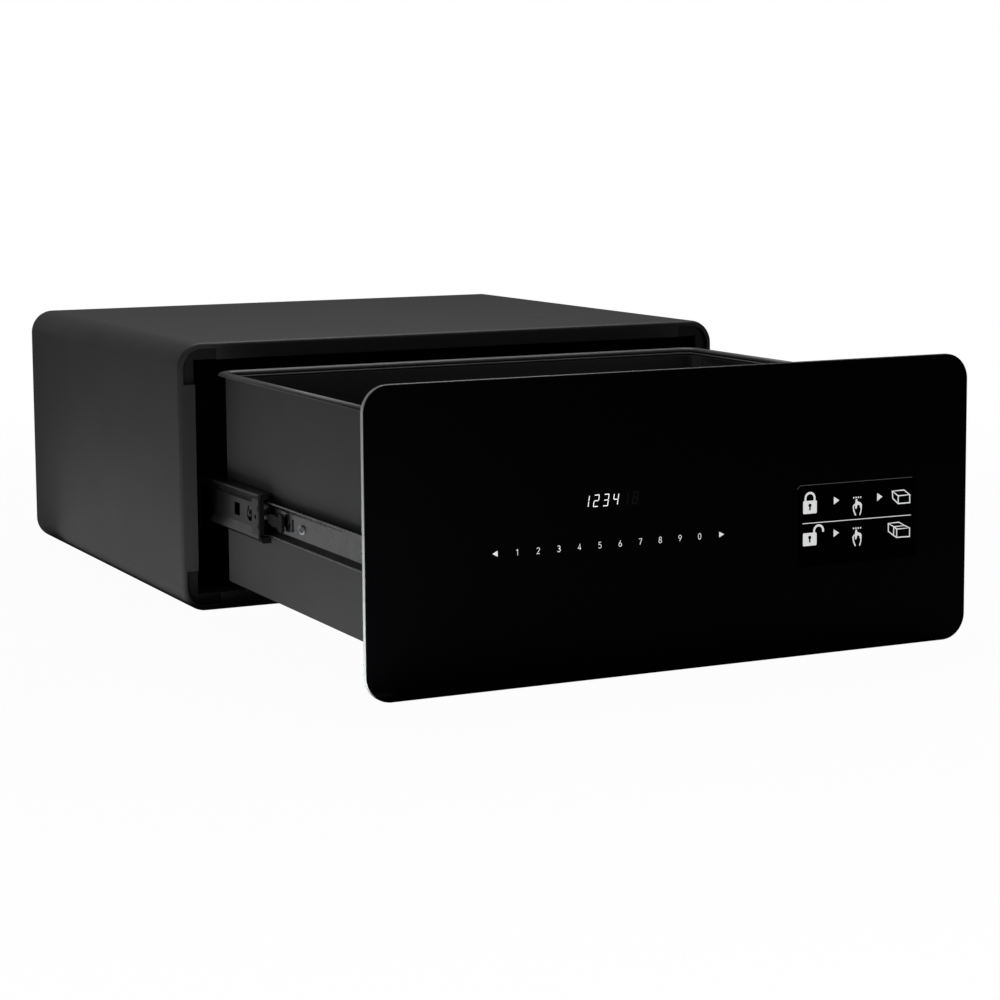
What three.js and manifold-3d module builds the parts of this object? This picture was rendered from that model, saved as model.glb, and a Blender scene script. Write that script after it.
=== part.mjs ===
// Drawer safe for under a desk: a steel casing, a full-extension drawer on ball-bearing slides,
// a glass front with a touch strip, and a motor-driven lock with two side bolts.
// Millimetres, +Z up, the front faces -Y. The origin is the middle of the casing's bottom face.
// Everything is laid out with the drawer shut; the moving groups are then drawn out at the end.

import * as THREE from 'three';
import { mergeVertices } from 'three/addons/utils/BufferGeometryUtils.js';
import Module from 'manifold-3d';

const wasm = await Module();
wasm.setup();

// Casing
const casingWidth = 460;
const casingHeight = 203;
const casingDepth = 400;
const casingCornerRadius = 19;
const casingSheet = 3;
const casingEdgeRadius = 2.5;
const sideFlangeWidth = 9.8;
const topFlangeWidth = 8.4;
const notchLength = 31;
const notchInset = 4.2;
const backSheet = 2.5;
const backLipDepth = 14;
const anchorHoleRadius = 5;
const anchorSpacingX = 300;
const anchorSpacingY = 240;
const backAnchorHeight = 110;

// Collar frame inside the mouth of the casing
const openingSideInset = 13.4;
const openingTopInset = 12.8;
const frameSheet = 2.5;
const frameReach = 24;
const frameSideGap = 0.8;

// Gaps
const seatGap = 0.3;
const slidingGap = 0.4;

// Drawer
const drawerSideRoom = 28.6;
const drawerTopRoom = 20.6;
const drawerDepth = 329;
const drawerBottom = 26;
const drawerSheet = 1.2;
const drawerCornerRadius = 11;
const hemWidth = 5.3;
const hemHeight = 2.4;
const hemEdge = 0.6;
const frontTabWidth = 16;
const frontTabMargin = 5;
const drawerTravel = 344.5;

// Front
const plateMargin = 2;
const plateThickness = 2;
const plateCornerRadius = 16;
const plateStandoff = 0.5;
const glassSideInset = 0.75;
const glassTopInset = 0.5;
const glassThickness = 3.7;
const glassCornerRadius = 18;
const glassArris = 0.5;

// Touch strip and display
const controlsX = -54.8;
const displayRise = 17.4;
const displayWidth = 50;
const displayTall = 22;
const displayDepth = 8;
const touchDrop = 11.4;
const touchWidth = 186;
const touchTall = 18;
const touchDepth = 1.6;
const chipSide = 7;
const chipPitch = 14;
const chipDepth = 1.5;

// Slides, seen in section: depth runs from the casing side towards the drawer
const slideLength = 350;
const slideThickness = 12.7;
const slideCentreHeight = 86.5;
const slideFrontInset = 3;
const slideSheet = 1.2;
const outerSlideHeight = 45.7;
const outerSlideDepth = 10.6;
const outerLipReturn = 1.5;
const outerBend = 1.4;
const outerSlotBehindScrew = 25;
const outerSlotLength = 14;
const outerSlotTall = 5;
const middleSlideHeight = 34.6;
const middleShoulderDepth = 2.5;
const middleWebDepth = 5;
const middleLipDepth = 9.8;
const middleWebHalf = 8.6;
const middleShoulderHalf = 15.6;
const middleBend = 1;
const middleSlideFront = 57;
const middleSlideLength = 287;
const innerSlideHeight = 24.6;
const innerLipDepth = 7.2;
const innerWebHalf = 8.4;
const innerRimLength = 1.2;
const innerBend = 1.2;
const bendSteps = 3;
const bendShare = 0.45;
const bracketSetBack = 3;
const bracketLength = 328;
const bracketSheet = 1.5;
const bracketFlangeHalf = 46;
const bracketFootHalf = 31;
const bracketCrownHalf = 26;
const bracketBend = 3;

// Ball cages
const cageSheet = 0.7;
const outerBallRadius = 1.85;
const outerBallDepth = 6.7;
const innerBallRadius = 1.6;
const ballPitch = 20;
const outerCageFront = 110;
const outerCageLength = 220;
const innerCageFront = 150;
const innerCageLength = 186;
const cageBridge = 9;
const cageRunningGap = 0.3;
const innerCageRunningGap = 0.2;
const outerCageReach = 8.9;
const innerCageReach = 10.6;

// Pressed holes in the slides, as distances behind the casing's mouth with the drawer shut
const middleWindowY = 106.8;
const middleWindowLength = 11.5;
const middleWindowTall = 9;
const middleRivetY = 80.5;
const middleRivetHole = 5.6;
const middleRivetRadius = 3;
const rivetBarHalf = 1.4;
const rivetDome = 1;
const rivetSink = 1;
const rivetCrownRadius = 1.8;
const latchPlateLength = 13.4;
const latchPlateHalf = 12.6;
const latchPlateDepth = 2.9;
const latchNotchHeight = 6.4;
const latchNotchRadius = 2.4;
const latchHoleRadius = 1.6;
const innerOvalY = 190.9;
const innerOvalRadius = 1.7;
const innerSlotY = 183.5;
const innerSlotLength = 3.6;
const innerSlotTall = 8.5;
const innerRearSlotY = 262;

// Slide end caps and release levers
const capArmLength = 5.1;
const capWebLength = 3;
const capHalf = 18;
const capArmInner = 13.2;
const capDepthNear = 2.3;
const capDepthFar = 10.6;
const capWebDepth = 6;
const capChamfer = 2;
const capGrooveDepth = 0.8;
const capGrooveBehindTip = 2;
const capGrooveWidth = 1.2;
const leverPivotY = 218;
const leverLength = 22.6;
const leverHalf = 6.4;
const leverNear = 7.3;
const leverFar = 9.6;
const leverBossRadius = 2.5;
const leverTabLength = 7;
const leverWaistHalf = 3.2;
const leverEyeHalf = 4.5;
const leverTabSlope = 1;

// Screws
const slideScrewHead = 4;
const slideScrewShaft = 2.2;
const slideScrewReach = 7;
const outerScrewFrontY = 42;
const outerScrewRearY = 318;
const screwHoleGap = 0.3;
const panHeadRadius = 3.5;
const panHeadHeight = 1.7;
const panHeadRim = 0.7;
const panCrownRadius = 2.1;
const panShaftRadius = 2;
const innerScrewFrontY = 30;
const innerScrewMiddleY = 164.1;
const innerScrewRearY = 300;

// Lock
const boltRadius = 6;
const boltY = 13;
const lockDrop = 42.4;
const boltTravel = 23;
const boltSink = 0.5;
const boltLength = 66;
const boltHoleGap = 0.5;
const boltNose = 1.2;
const gearModule = 1.25;
const gearTeeth = 16;
const gearWidth = 6;
const gearAddendum = 1.05;
const gearDedendum = 1.45;
const gearBacklash = 0.28;
const pressureAngle = 20 * Math.PI / 180;
const rackTall = 5;
const rackOverrun = 8;
const rackHeel = 10;
const rackHeelLap = 1;
const toothSink = 0.5;
const lockBracketHalf = 24;
const lockBracketSheet = 1.5;
const lockBracketBend = 2.2;
const lockBracketWebY = 20;
const lockBracketTop = 22;
const lockBracketFoot = 9;
const motorSide = 28;
const motorCornerRadius = 3;
const gearboxDepth = 12;
const canRadius = 12;
const canDepth = 13;
const shaftRadius = 3;
const shaftReach = 8;
const shaftHoleGap = 1;
const hubProud = 3;
const guideHalf = 13;
const guideSheet = 2;
const guideBend = 3;
const guideWallRoom = 18.4;
const guideLength = 23;
const guideDepth = 26;

// Partition behind the lock, with the battery tray and its door
const partitionY = 52;
const partitionSheet = 1.2;
const partitionDrop = 4.8;
const partitionFoot = 12;
const partitionLip = 12;
const lipNotchGap = 1;
const partitionScrewInset = 41.4;
const batteryInset = 77.4;
const batteryHeight = 92;
const cellRadius = 7;
const cellLength = 50;
const cellNipple = 2.6;
const cellNippleLength = 1.2;
const cellGap = 0.6;
const trayWall = 1.5;
const trayDepth = 18;
const batteryDoorMargin = 3;
const batteryDoorSheet = 2;
const hingeBarrelRadius = 2.4;
const hingePinRadius = 1.5;
const hingeLugSheet = 2.5;
const hingeLugHalf = 3.4;
const hingePinGap = 0.25;
const hingePinProud = 1;
const hingeSetBack = 0.2;
const doorLedge = 4;
const doorLedgeHalf = 8;

// Felt lining
const feltThickness = 3;
const feltDrop = 2;
const feltReturn = 14;

// Ejector springs on the back wall
const ejectorX = 120;
const ejectorHeight = 100;
const ejectorBaseRadius = 12;
const ejectorBaseThickness = 3;
const ejectorPostRadius = 5;
const ejectorPostLength = 46;
const ejectorPostTaper = 2;
const springRadius = 8;
const springWire = 1.8;
const springFreeLength = 84;
const springTurns = 10;
const springStepsPerTurn = 8;
const springSides = 5;

// Facets
const roundSides = 20;
const smallRoundSides = 12;
const cornerSteps = 5;
const ballSides = 6;
const ballRings = 4;
const cutOver = 5;
const shortCutOver = 1;
const lapDepth = 0.1;

// Places that follow from the sizes above
const drawerHalf = casingWidth / 2 - drawerSideRoom;
const drawerTop = casingHeight - drawerTopRoom;
const glassWidth = casingWidth - 2 * glassSideInset;
const glassHeight = casingHeight - 2 * glassTopInset;
const plateWidth = glassWidth - 2 * plateMargin;
const plateHeight = glassHeight - 2 * plateMargin;
const guideOuter = drawerHalf - guideWallRoom;
const guideInner = guideOuter - guideLength;
const partitionTop = drawerTop - partitionDrop;
const lockHeight = drawerTop - lockDrop;
const partitionScrewX = drawerHalf - partitionScrewInset;
const batteryX = drawerHalf - batteryInset;
const feltTop = drawerTop - feltDrop;
const slideFace = drawerHalf + slideThickness;
const outerHalf = outerSlideHeight / 2;
const middleHalf = middleSlideHeight / 2;
const innerHalf = innerSlideHeight / 2;
const innerWebDepth = slideThickness - seatGap - slideSheet;
const plateBack = -plateStandoff;
const plateFront = plateBack - plateThickness;
const glassBack = plateFront - seatGap;
const glassFront = glassBack - glassThickness;
const panelMiddle = casingHeight / 2;
const displayHeight = panelMiddle + displayRise;
const touchHeight = panelMiddle - touchDrop;
const bracketFront = frameReach + bracketSetBack;
const pitchRadius = gearModule * gearTeeth / 2;
const backInner = casingDepth - backSheet - seatGap;

// Turns any closed geometry into a solid that can be joined and cut
function solid(geometry) {
  const plain = geometry.clone();
  plain.deleteAttribute('normal');
  plain.deleteAttribute('uv');
  const merged = mergeVertices(plain, 1e-4);
  const all = merged.index.array;
  const kept = [];
  for (let i = 0; i < all.length; i += 3) {
    const [a, b, c] = [all[i], all[i + 1], all[i + 2]];
    if (a !== b && b !== c && c !== a) {
      kept.push(a, b, c);
    }
  }
  merged.setIndex(kept);
  return new wasm.Manifold(new wasm.Mesh({
    numProp: 3,
    vertProperties: new Float32Array(merged.attributes.position.array),
    triVerts: new Uint32Array(facingOut(merged).index.array),
  }));
}

// Turns the faces of a closed mesh outwards where they face in
function facingOut(geometry) {
  const p = geometry.attributes.position;
  const index = geometry.index.array;
  const corner = (i) => new THREE.Vector3().fromBufferAttribute(p, index[i]);
  let volume = 0;
  for (let i = 0; i < index.length; i += 3) {
    volume += corner(i).dot(corner(i + 1).cross(corner(i + 2)));
  }
  if (volume < 0) {
    for (let i = 0; i < index.length; i += 3) {
      [index[i], index[i + 1]] = [index[i + 1], index[i]];
    }
  }
  return geometry;
}

function geometryOf(body) {
  const mesh = body.getMesh();
  const geometry = new THREE.BufferGeometry();
  geometry.setAttribute('position', new THREE.BufferAttribute(new Float32Array(mesh.vertProperties), 3));
  geometry.setIndex(new THREE.BufferAttribute(new Uint32Array(mesh.triVerts), 1));
  geometry.computeVertexNormals();
  return geometry;
}

function join(bodies) {
  return bodies.reduce((whole, body) => whole.add(body));
}

function cut(body, tools) {
  return tools.reduce((rest, tool) => rest.subtract(tool), body);
}

function block(x0, x1, y0, y1, z0, z1) {
  const box = new THREE.BoxGeometry(Math.abs(x1 - x0), Math.abs(y1 - y0), Math.abs(z1 - z0));
  return solid(box.translate((x0 + x1) / 2, (y0 + y1) / 2, (z0 + z1) / 2));
}

// A turned piece: a profile of (radius, place along the axis), centred on (a, b) across it
function turned(axis, profile, a, b, sides = roundSides) {
  const lathe = new THREE.LatheGeometry(profile.map(([r, t]) => new THREE.Vector2(r, t)), sides);
  if (axis === 'x') {
    lathe.rotateZ(-Math.PI / 2).translate(0, a, b);
  } else if (axis === 'y') {
    lathe.translate(a, 0, b);
  } else {
    lathe.rotateX(Math.PI / 2).translate(a, b, 0);
  }
  return solid(lathe);
}

function rod(axis, from, to, a, b, radius, sides = roundSides) {
  return turned(axis, [[0, from], [radius, from], [radius, to], [0, to]], a, b, sides);
}

function shapeOf(points) {
  return new THREE.Shape(points.map(([a, b]) => new THREE.Vector2(a, b)));
}

function extruded(points, depth) {
  return new THREE.ExtrudeGeometry(shapeOf(points), { depth, bevelEnabled: false });
}

// Extrudes an outline given as (x, z) along Y
function alongY(points, y0, y1) {
  return solid(extruded(points, y1 - y0).rotateX(Math.PI / 2).translate(0, y1, 0));
}

// Extrudes an outline given as (y, z) along X
function alongX(points, x0, x1) {
  const turn = new THREE.Matrix4().set(0, 0, 1, x0, 1, 0, 0, 0, 0, 1, 0, 0, 0, 0, 0, 1);
  return solid(extruded(points, x1 - x0).applyMatrix4(turn));
}

// Extrudes an outline given as (x, y) along Z
function alongZ(points, z0, z1) {
  return solid(extruded(points, z1 - z0).translate(0, 0, z0));
}

// Replaces each inner corner of an open path by an arc
function rounded(path, radius, steps = bendSteps) {
  const result = [path[0]];
  for (let i = 1; i < path.length - 1; i += 1) {
    const corner = new THREE.Vector2(...path[i]);
    const before = new THREE.Vector2(...path[i - 1]).sub(corner);
    const after = new THREE.Vector2(...path[i + 1]).sub(corner);
    const half = Math.acos(before.clone().normalize().dot(after.clone().normalize())) / 2;
    const legs = Math.min(before.length(), after.length());
    const reach = Math.min(radius / Math.tan(half), legs * bendShare);
    const bend = reach * Math.tan(half);
    const middle = before.clone().normalize().add(after.clone().normalize()).normalize();
    const centre = corner.clone().addScaledVector(middle, bend / Math.sin(half));
    const start = corner.clone().addScaledVector(before.normalize(), reach).sub(centre).angle();
    const end = corner.clone().addScaledVector(after.normalize(), reach).sub(centre).angle();
    const sweep = THREE.MathUtils.euclideanModulo(end - start + Math.PI, 2 * Math.PI) - Math.PI;
    for (let k = 0; k <= steps; k += 1) {
      const angle = start + sweep * k / steps;
      result.push([centre.x + bend * Math.cos(angle), centre.y + bend * Math.sin(angle)]);
    }
  }
  result.push(path[path.length - 1]);
  return result;
}

// Gives an open path a thickness, to the left of its direction, with mitred corners
function sheetOutline(path, thickness) {
  const offset = path.map((point, i) => {
    const here = new THREE.Vector2(...point);
    const into = i > 0 ? here.clone().sub(new THREE.Vector2(...path[i - 1])).normalize() : null;
    const out = i < path.length - 1
      ? new THREE.Vector2(...path[i + 1]).sub(here).normalize() : null;
    const a = into ?? out;
    const b = out ?? into;
    const normal = new THREE.Vector2(-(a.y + b.y), a.x + b.x).normalize();
    const mitre = thickness / normal.dot(new THREE.Vector2(-a.y, a.x));
    return [here.x + normal.x * mitre, here.y + normal.y * mitre];
  });
  return [...path, ...offset.reverse()];
}

// The outline of a rectangle with round corners, as points
function roundedRectangle(x0, x1, z0, z1, radius, steps = cornerSteps) {
  const corners = [
    [x1 - radius, z1 - radius, 0],
    [x0 + radius, z1 - radius, 1],
    [x0 + radius, z0 + radius, 2],
    [x1 - radius, z0 + radius, 3],
  ];
  return corners.flatMap(([x, z, quarter]) => Array.from({ length: steps + 1 }, (_, k) => {
    const angle = (quarter + k / steps) * Math.PI / 2;
    return [x + radius * Math.cos(angle), z + radius * Math.sin(angle)];
  }));
}

// Joins rings of equally many points into one closed skin, capped at both ends
function loft(rings) {
  const count = rings[0].length;
  const positions = rings.flat(2);
  const index = [];
  const centreOf = (ring) => [0, 1, 2].map((axis) => ring.reduce((s, p) => s + p[axis], 0) / count);
  positions.push(...centreOf(rings[0]), ...centreOf(rings[rings.length - 1]));
  const firstCentre = rings.length * count;
  for (let k = 0; k < count; k += 1) {
    const next = (k + 1) % count;
    for (let r = 0; r < rings.length - 1; r += 1) {
      const a = r * count;
      const b = a + count;
      index.push(a + k, a + next, b + next, a + k, b + next, b + k);
    }
    const last = (rings.length - 1) * count;
    index.push(firstCentre, next, k, firstCentre + 1, last + k, last + next);
  }
  const geometry = new THREE.BufferGeometry();
  geometry.setAttribute('position', new THREE.Float32BufferAttribute(positions, 3));
  geometry.setIndex(index);
  return solid(geometry);
}

const steel = { color: 0x232427, roughness: 0.55, metalness: 0.2 };
const darkSteel = { color: 0x17181a, roughness: 0.6, metalness: 0.2 };
const zinc = { color: 0xb4b6ba, roughness: 0.32, metalness: 0.9 };
const brightZinc = { color: 0xd3d5d8, roughness: 0.22, metalness: 0.95 };
const blackPlastic = { color: 0x0e0e0f, roughness: 0.5, metalness: 0 };
const glass = { color: 0x050506, roughness: 0.04, metalness: 0 };
const felt = { color: 0x101011, roughness: 1, metalness: 0 };
const greenBoard = { color: 0x1d4a30, roughness: 0.5, metalness: 0 };
const cellWrap = { color: 0x2f6b4a, roughness: 0.4, metalness: 0.1 };
const springSteel = { color: 0x8e9095, roughness: 0.3, metalness: 0.9 };

function named(name, body, finish) {
  const mesh = new THREE.Mesh(geometryOf(body), new THREE.MeshStandardMaterial(finish));
  mesh.name = name;
  return mesh;
}

// The casing: a sheet tube whose straight front flanges turn in and stop short of the corners
function casingShell() {
  const half = casingWidth / 2;
  const ring = (y, inset) => roundedRectangle(
    -half + inset, half - inset, inset, casingHeight - inset, casingCornerRadius - inset,
  ).map(([x, z]) => [x, y, z]);
  const bend = [0, 1, 2, 3].map((k) => {
    const angle = k * Math.PI / 6;
    const inset = casingEdgeRadius * (1 - Math.sin(angle));
    return ring(casingEdgeRadius * (1 - Math.cos(angle)), inset);
  });
  const tube = loft([...bend, ring(casingDepth, 0)]);
  const hollow = alongY(
    roundedRectangle(
      -half + casingSheet, half - casingSheet, casingSheet, casingHeight - casingSheet,
      casingCornerRadius - casingSheet,
    ),
    casingSheet, casingDepth + cutOver,
  );
  const mouth = block(
    -half + sideFlangeWidth, half - sideFlangeWidth, -cutOver, cutOver,
    topFlangeWidth, casingHeight - topFlangeWidth,
  );
  const notch = alongY(
    roundedRectangle(
      -half + notchInset, half - notchInset, notchInset, casingHeight - notchInset,
      casingCornerRadius - notchInset,
    ),
    -cutOver, cutOver,
  );
  const straights = join([
    block(-half, half, -2 * cutOver, 2 * cutOver, notchLength, casingHeight - notchLength),
    block(-half + notchLength, half - notchLength, -2 * cutOver, 2 * cutOver, 0, casingHeight),
  ]);
  const anchors = [-1, 1].flatMap((sideX) => [-1, 1].map((sideY) => rod(
    'z', -cutOver, casingSheet + cutOver, sideX * anchorSpacingX / 2,
    casingDepth / 2 + sideY * anchorSpacingY / 2, anchorHoleRadius,
  )));
  return cut(tube, [hollow, mouth, notch.subtract(straights), ...anchors]);
}

// A shallow pan that closes the back of the casing, with its lip turned forward
function casingBackPlate() {
  const half = casingWidth / 2 - casingSheet - seatGap;
  const low = casingSheet + seatGap;
  const high = casingHeight - low;
  const radius = casingCornerRadius - casingSheet - seatGap;
  const pan = alongY(roundedRectangle(-half, half, low, high, radius), backInner - backLipDepth,
    backInner + backSheet);
  const inside = alongY(
    roundedRectangle(-half + backSheet, half - backSheet, low + backSheet, high - backSheet,
      radius - backSheet),
    backInner - backLipDepth - cutOver, backInner,
  );
  const anchors = [-1, 1].map((side) => rod(
    'y', backInner - cutOver, backInner + cutOver, side * anchorSpacingX / 2, backAnchorHeight,
    anchorHoleRadius,
  ));
  return cut(pan, [inside, ...anchors]);
}

// The collar: a lip behind the casing's flanges and a square mouth that returns inwards
function frontFrame() {
  const half = casingWidth / 2 - casingSheet - frameSideGap;
  const low = casingSheet + frameSideGap;
  const front = casingSheet + seatGap;
  const mouthHalf = casingWidth / 2 - openingSideInset;
  const mouthLow = openingTopInset;
  const mouthHigh = casingHeight - openingTopInset;
  const lip = alongY(
    roundedRectangle(-half, half, low, casingHeight - low, casingCornerRadius - low),
    front, front + frameSheet,
  );
  const collar = block(-mouthHalf - frameSheet, mouthHalf + frameSheet, front, frameReach,
    mouthLow - frameSheet, mouthHigh + frameSheet);
  const mouth = block(-mouthHalf, mouthHalf, -cutOver, frameReach + cutOver, mouthLow, mouthHigh);
  const strikes = rod('x', -casingWidth, casingWidth, boltY, lockHeight, boltRadius + boltHoleGap);
  return cut(lip.add(collar), [mouth, strikes]);
}

// Places a slide section, given as (depth, height), on the left or right side
function sectionX(side, depth) {
  return side * (slideFace - depth);
}

function slideSection(side, points, y0, y1) {
  const placed = points.map(([depth, height]) => [sectionX(side, depth), slideCentreHeight + height]);
  return alongY(placed, y0, y1);
}

function mirrored(half) {
  return [...half, ...half.slice().reverse().map(([depth, height]) => [depth, -height])];
}

// A cut through a slide's web: a rod or block across the section
function webHole(side, y, height, radius, from, to) {
  return rod('x', sectionX(side, from), sectionX(side, to), y, slideCentreHeight + height, radius);
}

function webSlot(side, y, length, tall, from, to) {
  return block(sectionX(side, from), sectionX(side, to), y - length / 2, y + length / 2,
    slideCentreHeight - tall / 2, slideCentreHeight + tall / 2);
}

// A hat-section bracket that stands the slide off the casing wall
function slideBracket(side) {
  const wallDepth = slideFace - casingWidth / 2 + casingSheet + seatGap;
  const crownDepth = -seatGap - bracketSheet;
  const path = mirrored([
    [wallDepth, -bracketFlangeHalf],
    [wallDepth, -bracketFootHalf],
    [crownDepth, -bracketCrownHalf],
  ]);
  const outline = sheetOutline(rounded(path, bracketBend), -bracketSheet);
  const body = slideSection(side, outline, bracketFront, bracketFront + bracketLength);
  const holes = [outerScrewFrontY, outerScrewRearY].map((y) => webHole(
    side, y, 0, slideScrewShaft + screwHoleGap, crownDepth - shortCutOver, 0,
  ));
  return cut(body, holes);
}

// The fixed slide member, a C whose lips hold the outer row of balls
function slideOuter(side) {
  const path = mirrored([
    [outerSlideDepth, -outerHalf + slideSheet + outerLipReturn],
    [outerSlideDepth, -outerHalf],
    [0, -outerHalf],
  ]);
  const outline = sheetOutline(rounded(path, outerBend), -slideSheet);
  const y0 = slideFrontInset;
  const body = slideSection(side, outline, y0, y0 + slideLength);
  const screws = [outerScrewFrontY, outerScrewRearY].map((y) => turned('x', [
    [0, sectionX(side, -shortCutOver)],
    [slideScrewShaft + screwHoleGap, sectionX(side, -shortCutOver)],
    [slideScrewShaft + screwHoleGap, sectionX(side, 0)],
    [slideScrewHead + screwHoleGap, sectionX(side, slideSheet)],
    [slideScrewHead + screwHoleGap, sectionX(side, slideSheet + shortCutOver)],
    [0, sectionX(side, slideSheet + shortCutOver)],
  ], y, slideCentreHeight));
  const slots = [outerScrewFrontY, outerScrewRearY].map((y) => webSlot(
    side, y + outerSlotBehindScrew, outerSlotLength, outerSlotTall, -cutOver,
    slideSheet + shortCutOver,
  ));
  return cut(body, [...screws, ...slots]);
}

// The middle member: a sunk web between sloping ball tracks
function slideMiddle(side) {
  const path = mirrored([
    [middleLipDepth, -middleHalf],
    [middleShoulderDepth + middleHalf - middleShoulderHalf, -middleHalf],
    [middleShoulderDepth, -middleShoulderHalf],
    [middleWebDepth, -middleWebHalf],
  ]);
  const outline = sheetOutline(rounded(path, middleBend, bendSteps - 1), -slideSheet);
  const y0 = middleSlideFront;
  const body = slideSection(side, outline, y0, y0 + middleSlideLength);
  const through = middleWebDepth + slideSheet + shortCutOver;
  const window = webSlot(side, middleWindowY, middleWindowLength, middleWindowTall, 0, through);
  const bar = webSlot(side, middleRivetY, 2 * middleRivetHole, 2 * rivetBarHalf,
    middleWebDepth + slideSheet / 2, through);
  const rivetHole = webHole(side, middleRivetY, 0, middleRivetHole, 0, through).subtract(bar);
  const rivet = turned('x', [
    [0, sectionX(side, middleWebDepth + rivetSink)],
    [middleRivetRadius, sectionX(side, middleWebDepth + rivetSink)],
    [middleRivetRadius, sectionX(side, middleWebDepth)],
    [rivetCrownRadius, sectionX(side, middleWebDepth - rivetDome)],
    [0, sectionX(side, middleWebDepth - rivetDome)],
  ], middleRivetY, slideCentreHeight);
  return cut(body, [window, rivetHole]).add(rivet).add(latchPlate(side));
}

// The raised plate at the front of the middle member that the lever's catch works in
function latchPlate(side) {
  const y0 = middleSlideFront;
  const y1 = y0 + latchPlateLength;
  const plate = block(
    sectionX(side, latchPlateDepth), sectionX(side, latchPlateDepth + slideSheet), y0, y1,
    slideCentreHeight - latchPlateHalf, slideCentreHeight + latchPlateHalf,
  );
  const notches = [-1, 1].map((way) => webHole(
    side, y0, way * latchNotchHeight, latchNotchRadius, latchPlateDepth - shortCutOver,
    latchPlateDepth + slideSheet + shortCutOver,
  ));
  const hole = webHole(side, (y0 + y1) / 2, 0, latchHoleRadius, 0, middleWebDepth - seatGap);
  return cut(plate, [...notches, hole]);
}

// The inner member, a C that opens outwards and is screwed to the drawer wall
function slideInner(side) {
  const path = mirrored([
    [innerLipDepth, -innerHalf],
    [innerLipDepth + innerRimLength, -innerHalf],
    [innerWebDepth + slideSheet, -innerWebHalf],
  ]);
  const outline = sheetOutline(rounded(path, innerBend, bendSteps - 1), slideSheet);
  const y0 = slideFrontInset;
  const body = slideSection(side, outline, y0, y0 + slideLength);
  const from = innerWebDepth - shortCutOver;
  const to = slideThickness - seatGap / 2;
  const screws = [innerScrewFrontY, innerScrewMiddleY, innerScrewRearY].map((y) => webHole(
    side, y, 0, panShaftRadius + screwHoleGap, from, to,
  ));
  const oval = webHole(side, innerOvalY, 0, innerOvalRadius, from, to);
  const slots = [innerSlotY, innerRearSlotY].map((y) => webSlot(
    side, y, innerSlotLength, innerSlotTall, from, to,
  ));
  return cut(body, [...screws, oval, ...slots]);
}

// A ball cage: two strips that hold the balls, tied by a bridge at each end
function ballCage(side, sizes) {
  const { front, length, webDepth, reach, stripHalf, ballHalf, ballDepth, ballRadius } = sizes;
  const path = mirrored([
    [reach, -stripHalf],
    [webDepth, -stripHalf],
  ]);
  const body = slideSection(side, sheetOutline(path, -cageSheet), front, front + length);
  const opening = webSlot(
    side, front + length / 2, length - 2 * cageBridge, 2 * (stripHalf - 2 * cageSheet),
    webDepth - shortCutOver, reach + shortCutOver,
  );
  const balls = [];
  for (let y = front + cageBridge; y <= front + length - cageBridge; y += ballPitch) {
    for (const way of [-1, 1]) {
      const ball = new THREE.SphereGeometry(ballRadius, ballSides, ballRings);
      ball.translate(sectionX(side, ballDepth), y, slideCentreHeight + way * ballHalf);
      balls.push(solid(ball));
    }
  }
  return join([cut(body, [opening]), ...balls]);
}

function outerCage(side) {
  const space = (outerHalf - slideSheet + middleHalf) / 2;
  return ballCage(side, {
    front: outerCageFront,
    length: outerCageLength,
    webDepth: slideSheet + cageRunningGap,
    reach: outerCageReach,
    stripHalf: space + cageSheet / 2,
    ballHalf: space,
    ballDepth: outerBallDepth,
    ballRadius: outerBallRadius,
  });
}

function innerCage(side) {
  const space = (middleHalf - slideSheet + innerHalf) / 2;
  return ballCage(side, {
    front: innerCageFront,
    length: innerCageLength,
    webDepth: middleWebDepth + slideSheet + innerCageRunningGap,
    reach: innerCageReach,
    stripHalf: space + cageSheet / 2,
    ballHalf: space,
    ballDepth: (innerLipDepth + middleLipDepth) / 2,
    ballRadius: innerBallRadius,
  });
}

// The plastic cap on the front end of the middle member: two arms tied by a short web
function endCap(side) {
  const end = middleSlideFront - seatGap;
  const tip = end - capArmLength;
  const section = [
    [capDepthNear, -capHalf + capChamfer],
    [capDepthNear + capChamfer, -capHalf],
    [capDepthFar, -capHalf],
    [capDepthFar, -capArmInner],
    [capWebDepth, -capArmInner],
  ];
  const outline = mirrored(section);
  const body = slideSection(side, outline, tip, end);
  const mouth = block(
    sectionX(side, capDepthNear - shortCutOver), sectionX(side, capDepthFar + shortCutOver),
    tip - shortCutOver, end - capWebLength,
    slideCentreHeight - capArmInner, slideCentreHeight + capArmInner,
  );
  const grooves = [-1, 1].map((way) => block(
    sectionX(side, capDepthNear - shortCutOver), sectionX(side, capDepthNear + capGrooveDepth),
    tip + capGrooveBehindTip, tip + capGrooveBehindTip + capGrooveWidth,
    slideCentreHeight + way * capArmInner, slideCentreHeight + way * (capHalf + shortCutOver),
  ));
  return cut(body, [mouth, ...grooves]);
}

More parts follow.
